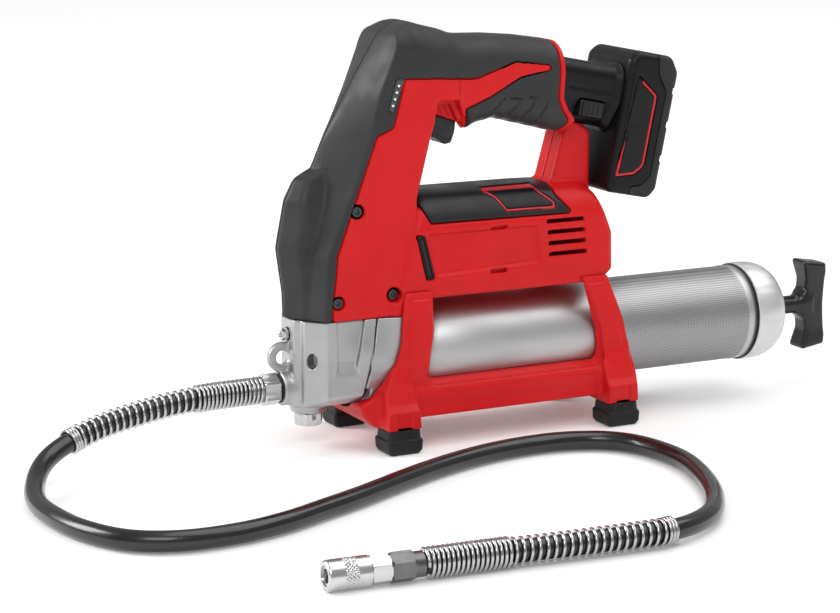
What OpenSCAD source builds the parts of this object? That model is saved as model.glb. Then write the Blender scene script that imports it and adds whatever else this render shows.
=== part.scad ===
// Cordless cartridge grease gun: motor housing over a grease tube held in a cradle on four feet,
// pump head in front, plunger with a T-handle behind, and a hose with a coupler.
// X runs from the pump head (-) to the T-handle (+), Y=0 is the parting plane, Z=0 is the floor.

/* [Grease tube] */
// Height of the grease tube's axis above the floor
axis_z = 50; // [49:0.5:50]
// Outer diameter of the grease tube
tube_od = 57; // [56:0.5:57]
// Wall of the grease tube
tube_wall = 1.2; // [1:0.1:1.4]
// Front end of the grease tube, where it meets the pump head
tube_x0 = -137; // [-138:1:-137]
// Rear end of the grease tube, where it meets the cap
tube_x1 = 122; // [118:1:124]
// How far the T-handle pulls out
plunger_travel = 195; // [150:5:195]

/* [Housing] */
// Half width of the front column
column_w = 25; // [24:0.5:26]
// Half width of the grip
grip_w = 22; // [21.5:0.5:23]
// Half width of the strut behind the grip opening
strut_w = 14; // [10:1:16]
// Half width of the motor barrel
barrel_w = 28; // [26:0.5:28]
// Wall left around the hollow of the housing
wall = 4; // [3.5:0.5:4]
// Thickness of the rubber skin
skin = 1.8; // [1:0.2:2]

/* [Drive] */
// Height of the motor's axis
motor_z = 110; // [110:0.5:111]
// Module of the planetary gears
gear_m = 0.8; // [0.8:0.8:0.8]
// Teeth of the sun gear on the motor shaft
sun_teeth = 12; // [12:1:12]
// Teeth of each planet gear
planet_teeth = 15; // [15:1:15]
// Crank pin's distance from the motor's axis, half of the pump stroke
crank_r = 5; // [4:0.5:5]
// Place of the pump bore along the gun
pump_x = -160; // [-161:1:-160]

/* [Battery] */
// Tilt of the battery's axis, down towards the rear
batt_tilt = 11.6; // [10:0.2:13]
// Width of the battery base
batt_w = 52; // [50:1:54]
// Thickness of the battery base along the battery's axis
batt_t = 34; // [32:1:35]
// Length of the battery stem inside and behind the grip
stem_len = 78; // [74:1:78]

/* [Feet and hose] */
// Outer half distance across the feet
foot_y = 46; // [44:1:46]
// Width of one foot
foot_w = 21; // [18:1:21]
// Length of one foot
foot_l = 28; // [24:1:28]
// Outer diameter of the hose
hose_d = 10.8; // [10:0.2:11]
// Outer diameter of the hose guard springs
guard_d = 15; // [14.5:0.5:15.5]

/* [Hidden] */
$fn = 64;
eps = 0.02;                 // overshoot of a cut past the face that it opens
tube_r = tube_od / 2;
bore_r = tube_r - tube_wall;

// ---- outlines -------------------------------------------------------------------------------
function unit(v) = v / norm(v);
function xz(p) = [p[0], p[1]];
function left_normal(v) = [-v[1], v[0]];
function turn(u, v) = u[0] * v[1] - u[1] * v[0];

// A corner of an outline [x, z, radius], moved inwards by d with its radius changed to suit
function inset_corner(p, i, d) =
    let (n = len(p), b = p[i], u = unit(xz(b) - xz(p[(i + n - 1) % n])),
         v = unit(xz(p[(i + 1) % n]) - xz(b)), a = left_normal(u), c = left_normal(v),
         q = xz(b) + (a + c) * d / (1 + a * c))
    [q[0], q[1], max(0.2, b[2] + (turn(u, v) > 0 ? -d : d))];
function inset(p, d) = [for (i = [0:len(p) - 1]) inset_corner(p, i, d)];

// The points of one rounded corner
function corner_points(p, i) =
    let (n = len(p), b = xz(p[i]), r = p[i][2], u = unit(xz(p[(i + n - 1) % n]) - b),
         v = unit(xz(p[(i + 1) % n]) - b), half = acos(u * v) / 2)
    r < 0.3 || half > 89 ? [b] :
    let (o = b + unit(u + v) * r / sin(half), s = b + u * r / tan(half) - o,
         e = b + v * r / tan(half) - o, a0 = atan2(s[1], s[0]),
         da = (atan2(e[1], e[0]) - a0 + 540) % 360 - 180, k = max(2, ceil(abs(da) / 15)))
    [for (j = [0:k]) o + r * [cos(a0 + da * j / k), sin(a0 + da * j / k)]];
function rounded(p) = [for (i = [0:len(p) - 1]) each corner_points(p, i)];

// An outline in the XZ plane, drawn out from y0 to y1
module slab(y0, y1, p)
    translate([0, y1, 0]) rotate([90, 0, 0]) linear_extrude(y1 - y0) polygon(rounded(p));
// A solid turned about an axis along X through height z, from a list of [radius, x]
module turned(p, z = 0)
    translate([0, 0, z]) rotate([0, 90, 0]) rotate_extrude() polygon(p);
// A ring or disc along X
module ring_x(x0, x1, r1, r0 = 0, z = 0)
    turned([[r0, x0], [r1, x0], [r1, x1], [r0, x1]], z);
// A cylinder along Y
module rod_y(x, z, y0, y1, r) translate([x, y1, z]) rotate([90, 0, 0]) cylinder(y1 - y0, r, r);
// A cylinder along Z
module rod_z(x, z0, z1, r) translate([x, 0, z0]) cylinder(z1 - z0, r, r);
// A hexagon bar along X or Z, sized across its flats
module hex_x(x0, x1, af, z)
    translate([x0, 0, z]) rotate([0, 90, 0]) cylinder(x1 - x0, af / sqrt(3), af / sqrt(3), $fn = 6);
module hex_z(x, z0, z1, af)
    translate([x, 0, z0]) cylinder(z1 - z0, af / sqrt(3), af / sqrt(3), $fn = 6);
// A box given by two corners
module block(a, b) translate(a) cube(b - a);

// ---- housing --------------------------------------------------------------------------------
housing_z = 80;                             // underside of the housing
column = [[-178, housing_z, 3], [-108, housing_z, 0], [-108, 142, 0], [-98, 176, 6],
          [-94, 187, 2], [-84, 187, 0], [-84, 231, 8], [-108, 239, 12], [-126, 225, 14],
          [-165, 157, 6], [-175, 151, 10], [-183, 114, 30]];
grip = [[-104, 190, 0], [-95, 187, 0], [-74, 181, 1], [-69, 177, 3], [-57, 181, 12], [-40, 178, 12],
        [-9, 169.5, 3], [-1, 180, 4], [-4, 197, 10], [-8, 216, 8], [-17, 224, 5], [-50, 229, 30],
        [-74, 229, 10], [-104, 236, 0]];
strut = [[-27, 131, 0], [14, 131, 0], [14, 170, 4], [-1, 184, 1], [-12, 184, 0], [-14, 170, 3]];
barrel = [[-118, housing_z, 0], [17, housing_z, 6], [22, 92, 6], [22, 112, 8], [14, 136, 5],
          [-25, 139, 10], [-77, 142, 10], [-118, 144, 0]];
// Where the rubber skin lies: the spine with the top of the grip, and the underside of the grip
spine_zone = [[-200, 60, 0], [-155, 60, 0], [-155, 111, 6], [-131, 177, 0], [-121, 181, 3],
              [-113, 208, 3], [-68, 206, 12], [-42, 214, 8], [-17, 210, 0], [20, 211, 0],
              [20, 260, 0], [-200, 260, 0]];
palm_zone = [[-73, 160, 0], [20, 160, 0], [20, 206, 0], [-33, 206, 2], [-41, 203, 2],
             [-63, 190, 4], [-73, 188, 0]];
cover_zone = [[-106, 126, 2], [-10, 125, 2], [-7, 140, 0], [-7, 160, 0], [-110, 160, 0]];
label_zone = [[-64, 130, 1], [-18, 127.5, 1], [-15, 138, 1], [-61, 141, 1]];
slot_zone = [[-102, 95, 1], [-97, 95, 1], [-104, 120, 1], [-108, 120, 1]];
gauge_zone = [[-124, 191, 0.5], [-120, 189, 0.5], [-113, 208, 0.5], [-119, 208, 0.5]];
gauge_leds_at = [[-121, 193.5], [-120, 197], [-118.8, 200.5], [-117.5, 204]];
screws_at = [[-143, 136], [-121, 87.5]];    // screws through both housing halves
tang_screw_at = [-155, 85];                 // short screws into the pump head's tang
tang_z = 88;                                // top of the pump head's tang inside the housing
vent_at = [-21, 100];                       // front end of the lowest cooling slot
vent_pitch = 6.6;                           // distance from one cooling slot to the next
ribs_at = [[-142, 20.1], [-104, 19.1], [-70, 19.1]];     // place and hole radius of each rib
screw_r = 1.5;
screw_head_r = 3.1;

// The left half of the housing's outer shape (y <= 0), moved in by d
module housing_form(d) {
    slab(-column_w + d, 0, inset(column, d));
    slab(-grip_w + d, 0, inset(grip, d));
    slab(-strut_w + d, 0, inset(strut, d));
    slab(-barrel_w + d, 0, inset(barrel, d));
}
module rubber_zone() {
    slab(-60, 0, spine_zone);
    slab(-60, 0, palm_zone);
}
module hollow_form() {
    slab(-column_w + wall, eps, inset(column, wall));
    slab(-grip_w + skin + 1.4, eps, inset(grip, wall));
    slab(-barrel_w + wall, eps, inset(barrel, wall));
}
// The space that the trigger and its stem move in
module trigger_pocket() {
    block([-96, -9.2, 170], [-66, 1, 187]);
    block([-93, -6.5, 178], [-66, 1, 196]);
}
module cover_form() difference() {
    intersection() { housing_form(0); slab(-60, eps, cover_zone); }
    housing_form(2.4);
    slab(-strut_w - 1, eps, [[-26, 120, 0], [0, 120, 0], [0, 180, 0], [-26, 180, 0]]);
}
module housing_half(has_gauge) difference() {
    union() {
        difference() {
            housing_form(0);
            difference() { rubber_zone(); housing_form(skin); }
            hollow_form();
        }
        // screw bosses, and ribs that hold the gear case and the motor
        intersection() {
            housing_form(skin + 0.2);
            union() {
                for (s = screws_at) rod_y(s[0], s[1], -column_w, 0, 3.6);
                for (b = ribs_at) difference() {
                    block([b[0], -40, housing_z], [b[0] + 3, 0, motor_z + 30]);
                    ring_x(b[0] - 1, b[0] + 4, b[1], 0, motor_z);
                }
            }
        }
    }
    cover_form();
    for (s = screws_at) {
        rod_y(s[0], s[1], -60, 1, screw_r);
        rod_y(s[0], s[1], -60, -column_w + 2.2, screw_head_r);
    }
    // the left cheek of the tang, and its short screw
    block([-172, -14.2, 70], [-148, 1, tang_z + 0.2]);
    rod_y(tang_screw_at[0], tang_screw_at[1], -60, 0, screw_r);
    rod_y(tang_screw_at[0], tang_screw_at[1], -60, -column_w + 2.2, screw_head_r);
    rod_z(pump_x, 75, 100, 9);
    // trigger slot, battery mouth, gauge window, cooling slots and the black slot insert
    trigger_pocket();
    battery_frame() battery_stem_form(0.4, 2);
    if (has_gauge) slab(-60, -column_w + 1.2, gauge_zone);
    for (k = [0:3])
        block([vent_at[0] + k / 2, -60, vent_at[1] + vent_pitch * k],
              [2 - k, -barrel_w + wall + 1, vent_at[1] + vent_pitch * k + 2.6]);
    slab(-60, -barrel_w + 2.5, slot_zone);
}
module housing_left() color([0.80, 0.12, 0.14]) housing_half(true);
module housing_right() color([0.80, 0.12, 0.14]) mirror([0, 1, 0]) housing_half(false);
module overmould_half(has_gauge) difference() {
    intersection() { housing_form(0); rubber_zone(); }
    housing_form(skin);
    block([-172, -14.2, 70], [-148, 1, tang_z + 0.2]);
    rod_y(tang_screw_at[0], tang_screw_at[1], -60, 0, screw_head_r);
    for (s = screws_at) rod_y(s[0], s[1], -60, 0, screw_head_r);
    trigger_pocket();
    battery_frame() battery_stem_form(0.4, 2);
    if (has_gauge) slab(-60, 0, gauge_zone);
}
module overmould_left() color([0.28, 0.29, 0.30]) overmould_half(true);
module overmould_right() color([0.28, 0.29, 0.30]) mirror([0, 1, 0]) overmould_half(false);
module motor_cover() color([0.22, 0.22, 0.23]) difference() {
    union() { cover_form(); mirror([0, 1, 0]) cover_form(); }
    slab(-60, -barrel_w + 0.8, label_zone);
}
module label_plate() color([0.08, 0.08, 0.09]) intersection() {
    cover_form();
    slab(-60, -barrel_w + 0.8, label_zone);
}
module slot_inserts() color([0.1, 0.1, 0.1])
    for (m = [0, 1]) mirror([0, m, 0]) slab(-barrel_w + 0.3, -barrel_w + 2.5, slot_zone);
module gauge_lens() color([0.08, 0.08, 0.09]) difference() {
    slab(-column_w + 0.4, -column_w + 1.2, gauge_zone);
    for (p = gauge_leds_at) rod_y(p[0], p[1], -60, 0, 0.9);
}
module gauge_leds() color([0.9, 0.9, 0.9])
    for (p = gauge_leds_at) rod_y(p[0], p[1], -column_w + 0.2, -column_w + 1.2, 0.9);
module screw(x, z, y_end) {
    rod_y(x, z, -column_w + 0.4, -column_w + 2.2, screw_head_r);
    rod_y(x, z, -column_w + 2.2, y_end, screw_r);
}
module housing_screws() color([0.12, 0.12, 0.12]) {
    for (s = screws_at) screw(s[0], s[1], 18);
    for (m = [0, 1]) mirror([0, m, 0]) screw(tang_screw_at[0], tang_screw_at[1], -8);
}

// ---- cradle and feet ------------------------------------------------------------------------
cradle_w = 33;                              // half width over the two bands
feet_x = [-127, 16];
cradle_outline = [[-134, 14, 3], [34, 14, 3], [36, 22, 3], [31, 45, 20], [17, 88, 2], [-116, 88, 2],
                  [-119, 50, 20], [-128, 32, 6], [-136, 24, 3]];
cradle_window = [[-99, 38, 4], [7, 38, 4], [5, 60, 12], [-10, 86, 4], [-97, 86, 3]];
module cradle_half() difference() {
    union() {
        slab(-cradle_w, 0, cradle_outline);
        for (x = feet_x) block([x - 11, -foot_y + 2, 14], [x + 11, -cradle_w + 1, 23]);
    }
    slab(-cradle_w - 1, 1, cradle_window);
    ring_x(-150, 50, tube_r + 0.2, 0, axis_z);
    ring_x(-150, collar_x1 + 0.2, collar_r + 0.2, 0, axis_z);
    block([-150, -barrel_w, housing_z], [50, 1, 100]);
    block([-150, -tube_r - 0.2, axis_z], [50, 1, housing_z + 1]);
    block([-112, -20, 10], [3, 1, 30]);
}
module cradle_left() color([0.80, 0.12, 0.14]) cradle_half();
module cradle_right() color([0.80, 0.12, 0.14]) mirror([0, 1, 0]) cradle_half();
foot_side = [[-14, 0, 2], [14, 0, 2], [14.5, 9, 2], [12, 14, 2], [-12, 14, 2], [-14.5, 9, 2]];
module foot(x, side) color([0.2, 0.2, 0.21]) mirror([0, side, 0]) translate([x, 0, 0])
    slab(-foot_y, -foot_y + foot_w, [for (p = foot_side) [p[0] * foot_l / 28, p[1], p[2]]]);
module foot_front_left() foot(feet_x[0], 0);
module foot_front_right() foot(feet_x[0], 1);
module foot_rear_left() foot(feet_x[1], 0);
module foot_rear_right() foot(feet_x[1], 1);

// ---- pump head ------------------------------------------------------------------------------
head_z0 = 25;                               // underside of the head
head_top_z = housing_z - 0.2;               // top of the head, under the housing
collar_r = 31;                              // outside of the collar on the tube
collar_x1 = -120;                           // rear end of the collar
outlet_z = 35.3;                            // height of the hose outlet
outlet_x = -181;                            // face of the outlet boss
ear_at = [-179, 53];                        // centre of the strap ear
bleeder_z = 66;                             // height of the bleeder valve
head_plan = [[-175, -13], [-162, -25], [-140, -25], [-140, 25], [-162, 25], [-175, 13]];
piston_r = 4;
chamber_r = 6;
port_dir = 42;                              // angle of the corner face with the loader port
port_at = [-169.4, -19, 53];
module pump_head() color([0.72, 0.73, 0.74]) difference() {
    union() {
        translate([0, 0, head_z0]) linear_extrude(head_top_z - head_z0) polygon(head_plan);
        block([-172, -14, 75], [-148, 14, tang_z]);
        rod_z(pump_x - 3, 20.5, 26, 10);
        ring_x(outlet_x, -168, 10, 0, outlet_z);
        rod_y(ear_at[0], ear_at[1], -2, 2, 9);
        block([ear_at[0], -2, 44], [-172, 2, 62]);
        difference() {
            ring_x(tube_x0 - 4, tube_x0, collar_r, 0, axis_z);
            block([-150, -20, head_top_z], [-130, 20, 90]);
        }
    }
    rod_y(ear_at[0], ear_at[1], -5, 5, 4);
    rod_z(pump_x, 40, 95, piston_r + 0.05);
    rod_z(pump_x, tang_z - 4, tang_z + 1, 6.5);
    rod_z(pump_x - 3, 28, 43, chamber_r);
    rod_z(pump_x - 3, 15, 29, 7);
    ring_x(-163, -130, 3.5, 0, axis_z);
    ring_x(outlet_x - 1, -163, 4.9, 0, outlet_z);
    ring_x(-176, -160, 2, 0, bleeder_z);
    ring_x(-176, -170, 3.6, 0, bleeder_z);
    translate(port_at) rotate([0, 0, 180 + port_dir]) rotate([0, 90, 0])
        translate([0, 0, -9]) cylinder(14, 4.4, 4.4);
    rod_y(tang_screw_at[0], tang_screw_at[1], -20, -8, screw_r);
    rod_y(tang_screw_at[0], tang_screw_at[1], 8, 20, screw_r);
}
module head_plug() color([0.75, 0.76, 0.77]) difference() {
    union() {
        hex_z(pump_x - 3, 13, 20.5, 15);
        rod_z(pump_x - 3, 20.5, 28.5, 6.9);
    }
    rod_z(pump_x - 3, 24, 30, 5);
}
module check_ball() color([0.8, 0.8, 0.82]) translate([pump_x - 3, 0, 38]) sphere(4.5);
module check_spring() color([0.7, 0.7, 0.72]) coil(pump_x - 3, 24.6, 33.2, 3.6, 0.5, 4);
module piston_packing() color([0.85, 0.83, 0.75]) difference() {
    rod_z(pump_x, tang_z - 3.8, tang_z, 6.45);
    rod_z(pump_x, tang_z - 4, tang_z + 1, piston_r + 0.1);
}
module bleeder_valve() color([0.82, 0.83, 0.84]) {
    hex_x(-179.5, -175.2, 6, bleeder_z);
    ring_x(-181, -179.5, 1.6, 0, bleeder_z);
    ring_x(-175.2, -171, 1.9, 0, bleeder_z);
}
module tube_collar() color([0.74, 0.75, 0.76]) difference() {
    ring_x(tube_x0 + 0.1, collar_x1, collar_r, tube_r + 0.1, axis_z);
    block([-150, -20, head_top_z], [-100, 20, 90]);
}

// ---- grease tube, cap and plunger -----------------------------------------------------------
cap_x1 = 152;                               // rear face of the cap
rod_r = 4;
module grease_tube() color([0.76, 0.77, 0.78]) ring_x(tube_x0 + 0.1, tube_x1, tube_r, bore_r, axis_z);
module rear_cap() color([0.66, 0.67, 0.68]) turned([
    [bore_r - 0.1, tube_x1 - 10], [bore_r - 0.1, tube_x1 + 1], [29.8, tube_x1 + 1], [29.8, 138],
    [28.5, 144], [25.5, 149], [21, cap_x1], [rod_r + 0.1, cap_x1], [rod_r + 0.1, 146],
    [23, 146], [bore_r - 2.5, 140], [bore_r - 2.5, tube_x1 - 10]], axis_z);
module cap_gasket() color([0.1, 0.1, 0.1]) ring_x(tube_x1, tube_x1 + 1, tube_r + 0.4, bore_r, axis_z);
follower_x = -128;
module follower() color([0.35, 0.36, 0.38]) difference() {
    union() {
        ring_x(follower_x, follower_x + 3, 26.4, 0, axis_z);
        ring_x(follower_x, follower_x + 20, 25, 0, axis_z);
    }
    ring_x(follower_x + 3, follower_x + 21, 23.5, 0, axis_z);
    ring_x(follower_x - 1, follower_x + 4, rod_r + 0.08, 0, axis_z);
}
module follower_seal() color([0.12, 0.12, 0.12])
    ring_x(follower_x + 3, follower_x + 9, bore_r - 0.3, 25, axis_z);
module follower_spring() color([0.7, 0.7, 0.72])
    translate([0, 0, axis_z]) rotate([0, 90, 0])
        coil(0, follower_x + 4.2, tube_x1 + 22.8, 20, 1.1, 13);
module plunger_rod() color([0.8, 0.81, 0.82]) {
    ring_x(follower_x - 4, 165, rod_r, 0, axis_z);
    ring_x(follower_x + 3.2, follower_x + 6, 8, 0, axis_z);
    ring_x(follower_x - 5.5, follower_x - 0.2, 7, 0, axis_z);
}
// T-handle: a bar with a hollowed front, wider at its ends, on a short stalk
handle_side = [[171, 43, 6], [170, 25, 2], [173, 22, 2], [186, 22, 2], [188, 30, 4], [186, 50, 40],
               [188, 70, 4], [186, 78, 2], [173, 78, 2], [170, 75, 2], [171, 57, 6]];
module t_handle() color([0.11, 0.11, 0.12]) difference() {
    union() {
        slab(-8, 8, handle_side);
        ring_x(155, 172, 6, 0, axis_z);
    }
    ring_x(150, 165, rod_r, 0, axis_z);
}

// ---- motor and gears ------------------------------------------------------------------------
ring_teeth = sun_teeth + 2 * planet_teeth;
planet_orbit = gear_m * (sun_teeth + planet_teeth) / 2;
gear_pa = 25;                               // pressure angle
gear_play = 0.14;                           // thinning of each tooth at its pitch circle
motor_x = [-116, -58];
gear_x = [-134, -125];
function inv_deg(a) = tan(a) * 180 / PI - a;
// Half of the angle that a tooth takes at radius r
function tooth_half(z, r, play) =
    let (rp = gear_m * z / 2, rb = rp * cos(gear_pa), a = acos(min(1, rb / max(r, rb))))
    90 / z - play / 2 / rp * 180 / PI + inv_deg(gear_pa) - inv_deg(a);
// Outline of a gear with z teeth, the first centred on angle 0
function gear_points(z, add, ded, play, n = 4) =
    let (rp = gear_m * z / 2, r0 = rp - ded, r1 = rp + add)
    [for (i = [0:z - 1], s = [-1, 1], k = [0:n])
        let (r = r0 + (r1 - r0) * (s < 0 ? k : n - k) / n, a = 360 * i / z + s * tooth_half(z, r, play))
        r * [cos(a), sin(a)]];
// An outline in the YZ plane about the motor's axis, drawn out from x0 to x1
module gear_slab(x0, x1, p, at = [0, 0], spin = 0)
    translate([x0, at[0], motor_z + at[1]]) rotate([90, 0, 90]) linear_extrude(x1 - x0)
        rotate(spin) polygon(p);
function planet_at(k) = planet_orbit * [cos(120 * k), sin(120 * k)];
// A cylinder along X, off the motor's axis by at
module rod_x_at(x0, x1, r, at)
    translate([x0, at[0], motor_z + at[1]]) rotate([0, 90, 0]) cylinder(x1 - x0, r, r);

module motor_can() color([0.55, 0.56, 0.58]) difference() {
    ring_x(motor_x[0], motor_x[1], 19, 0, motor_z);
    ring_x(motor_x[0] + 2, motor_x[1] - 2, 17.6, 0, motor_z);
    ring_x(motor_x[0] - 1, motor_x[1] + 1, 5, 0, motor_z);
}
module motor_magnets() color([0.25, 0.25, 0.27]) difference() {
    ring_x(motor_x[0] + 8, motor_x[1] - 10, 17.5, 14.2, motor_z);
    for (s = [-1, 1]) block([motor_x[0], -3, motor_z + s * 16 - 4], [motor_x[1], 3, motor_z + s * 16 + 4]);
}
module motor_bushes() color([0.75, 0.62, 0.3])
    for (x = [motor_x[0] - 2, motor_x[1] - 3]) ring_x(x, x + 5, 4.95, 2.06, motor_z);
module rotor() color([0.5, 0.4, 0.28]) difference() {
    union() {
        ring_x(motor_x[0] + 9, motor_x[1] - 14, 13.6, 0, motor_z);
        ring_x(motor_x[1] - 13, motor_x[1] - 5, 7, 0, motor_z);
        ring_x(gear_x[0], motor_x[1] + 14, 2, 0, motor_z);
        ring_x(motor_x[1] + 6, motor_x[1] + 14, 5, 0, motor_z);
        for (k = [0:8]) translate([0, 0, motor_z]) rotate([40 * k, 0, 0])
            block([motor_x[1] + 7, -0.8, 4], [motor_x[1] + 14, 0.8, 17]);
    }
    for (k = [0:4]) translate([0, 0, motor_z]) rotate([72 * k, 0, 0])
        block([motor_x[0] + 5, -1, 10], [motor_x[1] - 13.5, 1, 16]);
}
module sun_gear() color([0.6, 0.6, 0.62]) difference() {
    gear_slab(gear_x[0] + 0.1, gear_x[1] + 3, gear_points(sun_teeth, gear_m, 1.2 * gear_m, gear_play));
    ring_x(gear_x[0], gear_x[1] + 4, 2, 0, motor_z);
}
module ring_gear() color([0.5, 0.5, 0.52]) difference() {
    ring_x(gear_x[0], gear_x[1], 20, 0, motor_z);
    gear_slab(gear_x[0] - 1, gear_x[1] + 1,
              gear_points(ring_teeth, 1.25 * gear_m, 0.95 * gear_m, -gear_play));
}
module gear_case() color([0.3, 0.3, 0.32]) difference() {
    ring_x(-145, gear_x[0], 20, 0, motor_z);
    ring_x(-146, -138, 12, 0, motor_z);
    ring_x(-139, gear_x[0] + 1, 17.6, 0, motor_z);
}
module carrier_bearing() color([0.72, 0.72, 0.75]) ring_x(-144.5, -138.5, 11.95, 6.05, motor_z);
module crank_carrier() color([0.56, 0.57, 0.6]) {
    ring_x(-138, -134.6, 15.6, 0, motor_z);
    ring_x(-146, -138, 6, 0, motor_z);
    ring_x(-150, -146, 9, 0, motor_z);
    rod_x_at(-166.5, -150, 2.5, [crank_r, 0]);
    for (k = [0:2]) rod_x_at(-134.6, gear_x[1] - 0.5, 1.5, planet_at(k));
}
module planet_gear(k) color([0.66, 0.66, 0.68]) difference() {
    gear_slab(gear_x[0] + 0.2, gear_x[1] - 1,
              gear_points(planet_teeth, gear_m, 1.2 * gear_m, gear_play), planet_at(k), 120 * k);
    rod_x_at(gear_x[0] - 1, gear_x[1] + 1, 1.56, planet_at(k));
}
module planet_gear_1() planet_gear(0);
module planet_gear_2() planet_gear(1);
module planet_gear_3() planet_gear(2);

// ---- yoke and pump piston -------------------------------------------------------------------
yoke_play = 0.5;
yoke_w = crank_r + 2.5 + yoke_play;         // half width of the yoke's window
yoke_h = 2 * crank_r + 2.5 + yoke_play;     // half height of the yoke's window
module yoke() color([0.45, 0.46, 0.48]) difference() {
    block([pump_x - 5, -yoke_w - 3, motor_z - yoke_h - 2.8],
          [pump_x + 5, yoke_w + 3, motor_z + yoke_h + 3]);
    block([pump_x - 6, -yoke_w, motor_z - yoke_h], [pump_x + 6, yoke_w, motor_z + yoke_h]);
}
module pump_piston() color([0.82, 0.83, 0.85])
    rod_z(pump_x, 56, motor_z - yoke_h - 2.8, piston_r);

// ---- trigger, switch and wiring parts -------------------------------------------------------
trigger_side = [[-97, 177, 1], [-92, 174, 3], [-84, 171, 3], [-79, 168.5, 1], [-77, 171, 2],
                [-75, 180, 1], [-92, 185.5, 1]];
module trigger() color([0.24, 0.25, 0.26]) union() {
    slab(-8.5, 8.5, trigger_side);
    block([-90, -5.5, 180], [-78, 5.5, 194]);
}
module switch_body() color([0.15, 0.15, 0.16]) block([-72.5, -9, 188], [-60, 9, 205]);
module control_board() color([0.1, 0.35, 0.2]) block([-112, -12, 206], [-76, 12, 207.6]);
module terminal_block() color([0.75, 0.62, 0.3]) battery_frame()
    for (y = [-6, 0, 6]) block([-stem_len - 6, y - 1, -7], [-stem_len - 0.5, y + 1, 7]);

// ---- battery --------------------------------------------------------------------------------
batt_at = [27, 188.3];                      // middle of the stem on the base's front face
cell_r = 9;
cell_len = 65;
stem_w = 19.4;                              // half width of the stem
stem_h = 18.2;                              // half height of the stem
module battery_frame() translate([batt_at[0], 0, batt_at[1]]) rotate([0, batt_tilt, 0]) children();
// The stem's section is wide at its top and narrow at its bottom, larger by g all round
module battery_stem_form(g, extra = 0) {
    translate([-stem_len - extra, 0, 0]) rotate([90, 0, 90]) linear_extrude(stem_len + extra)
        polygon(rounded([[-11 - g, -stem_h - g, 8], [11 + g, -stem_h - g, 8], [stem_w + g, -2, 8],
                         [stem_w + g, stem_h + g, 8], [-stem_w - g, stem_h + g, 8],
                         [-stem_w - g, -2, 8]]));
}
module battery_case() color([0.12, 0.12, 0.13]) battery_frame() difference() {
    battery_stem_form(0);
    translate([-1.4, 0, 0]) intersection() {
        battery_stem_form(-1);
        block([-stem_len + 2.8, -40, -40], [10, 40, 40]);
    }
    for (m = [-1, 1]) block([-25.3, m < 0 ? -40 : 11, -13.3], [-7.7, m < 0 ? -11 : 40, -3.7]);
    for (y = [-6, 0, 6]) block([-stem_len - 1, y - 1.4, -8], [-stem_len + 4, y + 1.4, 8]);
}
base_side = [[0, -54, 4], [batt_t - 4, -54, 4], [batt_t, -48, 4], [batt_t, 17, 6],
             [batt_t - 8, 25, 5], [0, 25, 4]];
module battery_base_shell() color([0.14, 0.14, 0.15]) battery_frame() difference() {
    slab(-batt_w / 2, batt_w / 2, base_side);
    slab(-batt_w / 2 + 1.6, batt_w / 2 - 1.6, inset(base_side, 1.6));
    block([-1, -10, -10], [2, 10, 10]);
}
module battery_cells() color([0.2, 0.35, 0.6]) battery_frame() {
    for (p = [[-9.15, 7.5], [9.15, 7.5], [0, -8.1]])
        translate([-stem_len + 5, p[0], p[1]]) rotate([0, 90, 0]) cylinder(cell_len, cell_r, cell_r);
    for (p = [[11.5, -15], [11.5, 15], [21.6, 0]])
        translate([p[0], p[1], -50]) cylinder(cell_len, cell_r, cell_r);
}
module battery_latch(side) color([0.16, 0.16, 0.17]) battery_frame() mirror([0, side, 0]) {
    block([-25, -21, -13], [-8, -14.5, -4]);
    for (x = [-23:3:-10]) block([x, -21.8, -12.5], [x + 1.4, -21, -4.5]);
}
module battery_latch_left() battery_latch(0);
module battery_latch_right() battery_latch(1);

// ---- hose -----------------------------------------------------------------------------------
// The hose's centreline, from the nut on the outlet boss to the coupler
route = [[-199, 0, 35.3], [-221, 0, 35], [-243, -1, 34], [-265, -2, 31], [-287, -4, 27],
         [-308, -8, 21], [-324, -17, 15], [-336, -35, 9], [-343, -60, 6], [-343, -90, 6],
         [-337, -118, 6], [-323, -142, 6], [-300, -154, 6], [-271, -155, 6], [-243, -148, 6],
         [-216, -136, 6], [-190, -124, 6], [-158, -107, 6], [-127, -92, 6], [-96, -81, 6],
         [-68, -76, 6], [-42, -77, 6], [-19, -87, 6], [-6, -107, 6], [-3, -141, 6],
         [-13, -178, 6], [-29, -211, 6], [-51, -238, 7], [-82, -253, 8], [-125, -252, 8],
         [-170, -248, 8], [-215, -245, 8]];
pump_guard_spans = [0, 5];                  // spans of the route under each guard spring
coupler_guard_spans = [28, 31];
// A point of a smooth curve through the route: span i, from 0 to 1 along it
function route_at(i, t) =
    let (n = len(route) - 1, b = route[i], c = route[i + 1],
         a = i > 0 ? route[i - 1] : 2 * b - c, d = i + 2 <= n ? route[i + 2] : 2 * c - b)
    (2 * b + (c - a) * t + (2 * a - 5 * b + 4 * c - d) * t * t + (3 * b - a - 3 * c + d) * t * t * t) / 2;
function route_points(from, to, steps) =
    [for (i = [from:to - 1], k = [0:steps - 1]) route_at(i, k / steps), route_at(to - 1, 1)];
// One ring of the sweep, square to the curve, with z as its up direction
function sweep_ring(p, i, r, sides) =
    let (n = len(p), t = unit(p[min(n - 1, i + 1)] - p[max(0, i - 1)]), s = unit(cross(t, [0, 0, 1])),
         u = cross(s, t))
    [for (j = [0:sides - 1]) p[i] + r * (s * cos(360 * j / sides) + u * sin(360 * j / sides))];
// A solid tube along points p
module sweep(p, r, sides) {
    n = len(p);
    polyhedron(
        [for (i = [0:n - 1]) each sweep_ring(p, i, r, sides)],
        concat([[for (j = [0:sides - 1]) j]],
               [for (i = [0:n - 2], j = [0:sides - 1]) let (a = i * sides, k = (j + 1) % sides)
                   [a + j, a + sides + j, a + sides + k, a + k]],
               [[for (j = [sides - 1:-1:0]) (n - 1) * sides + j]]));
}
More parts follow.
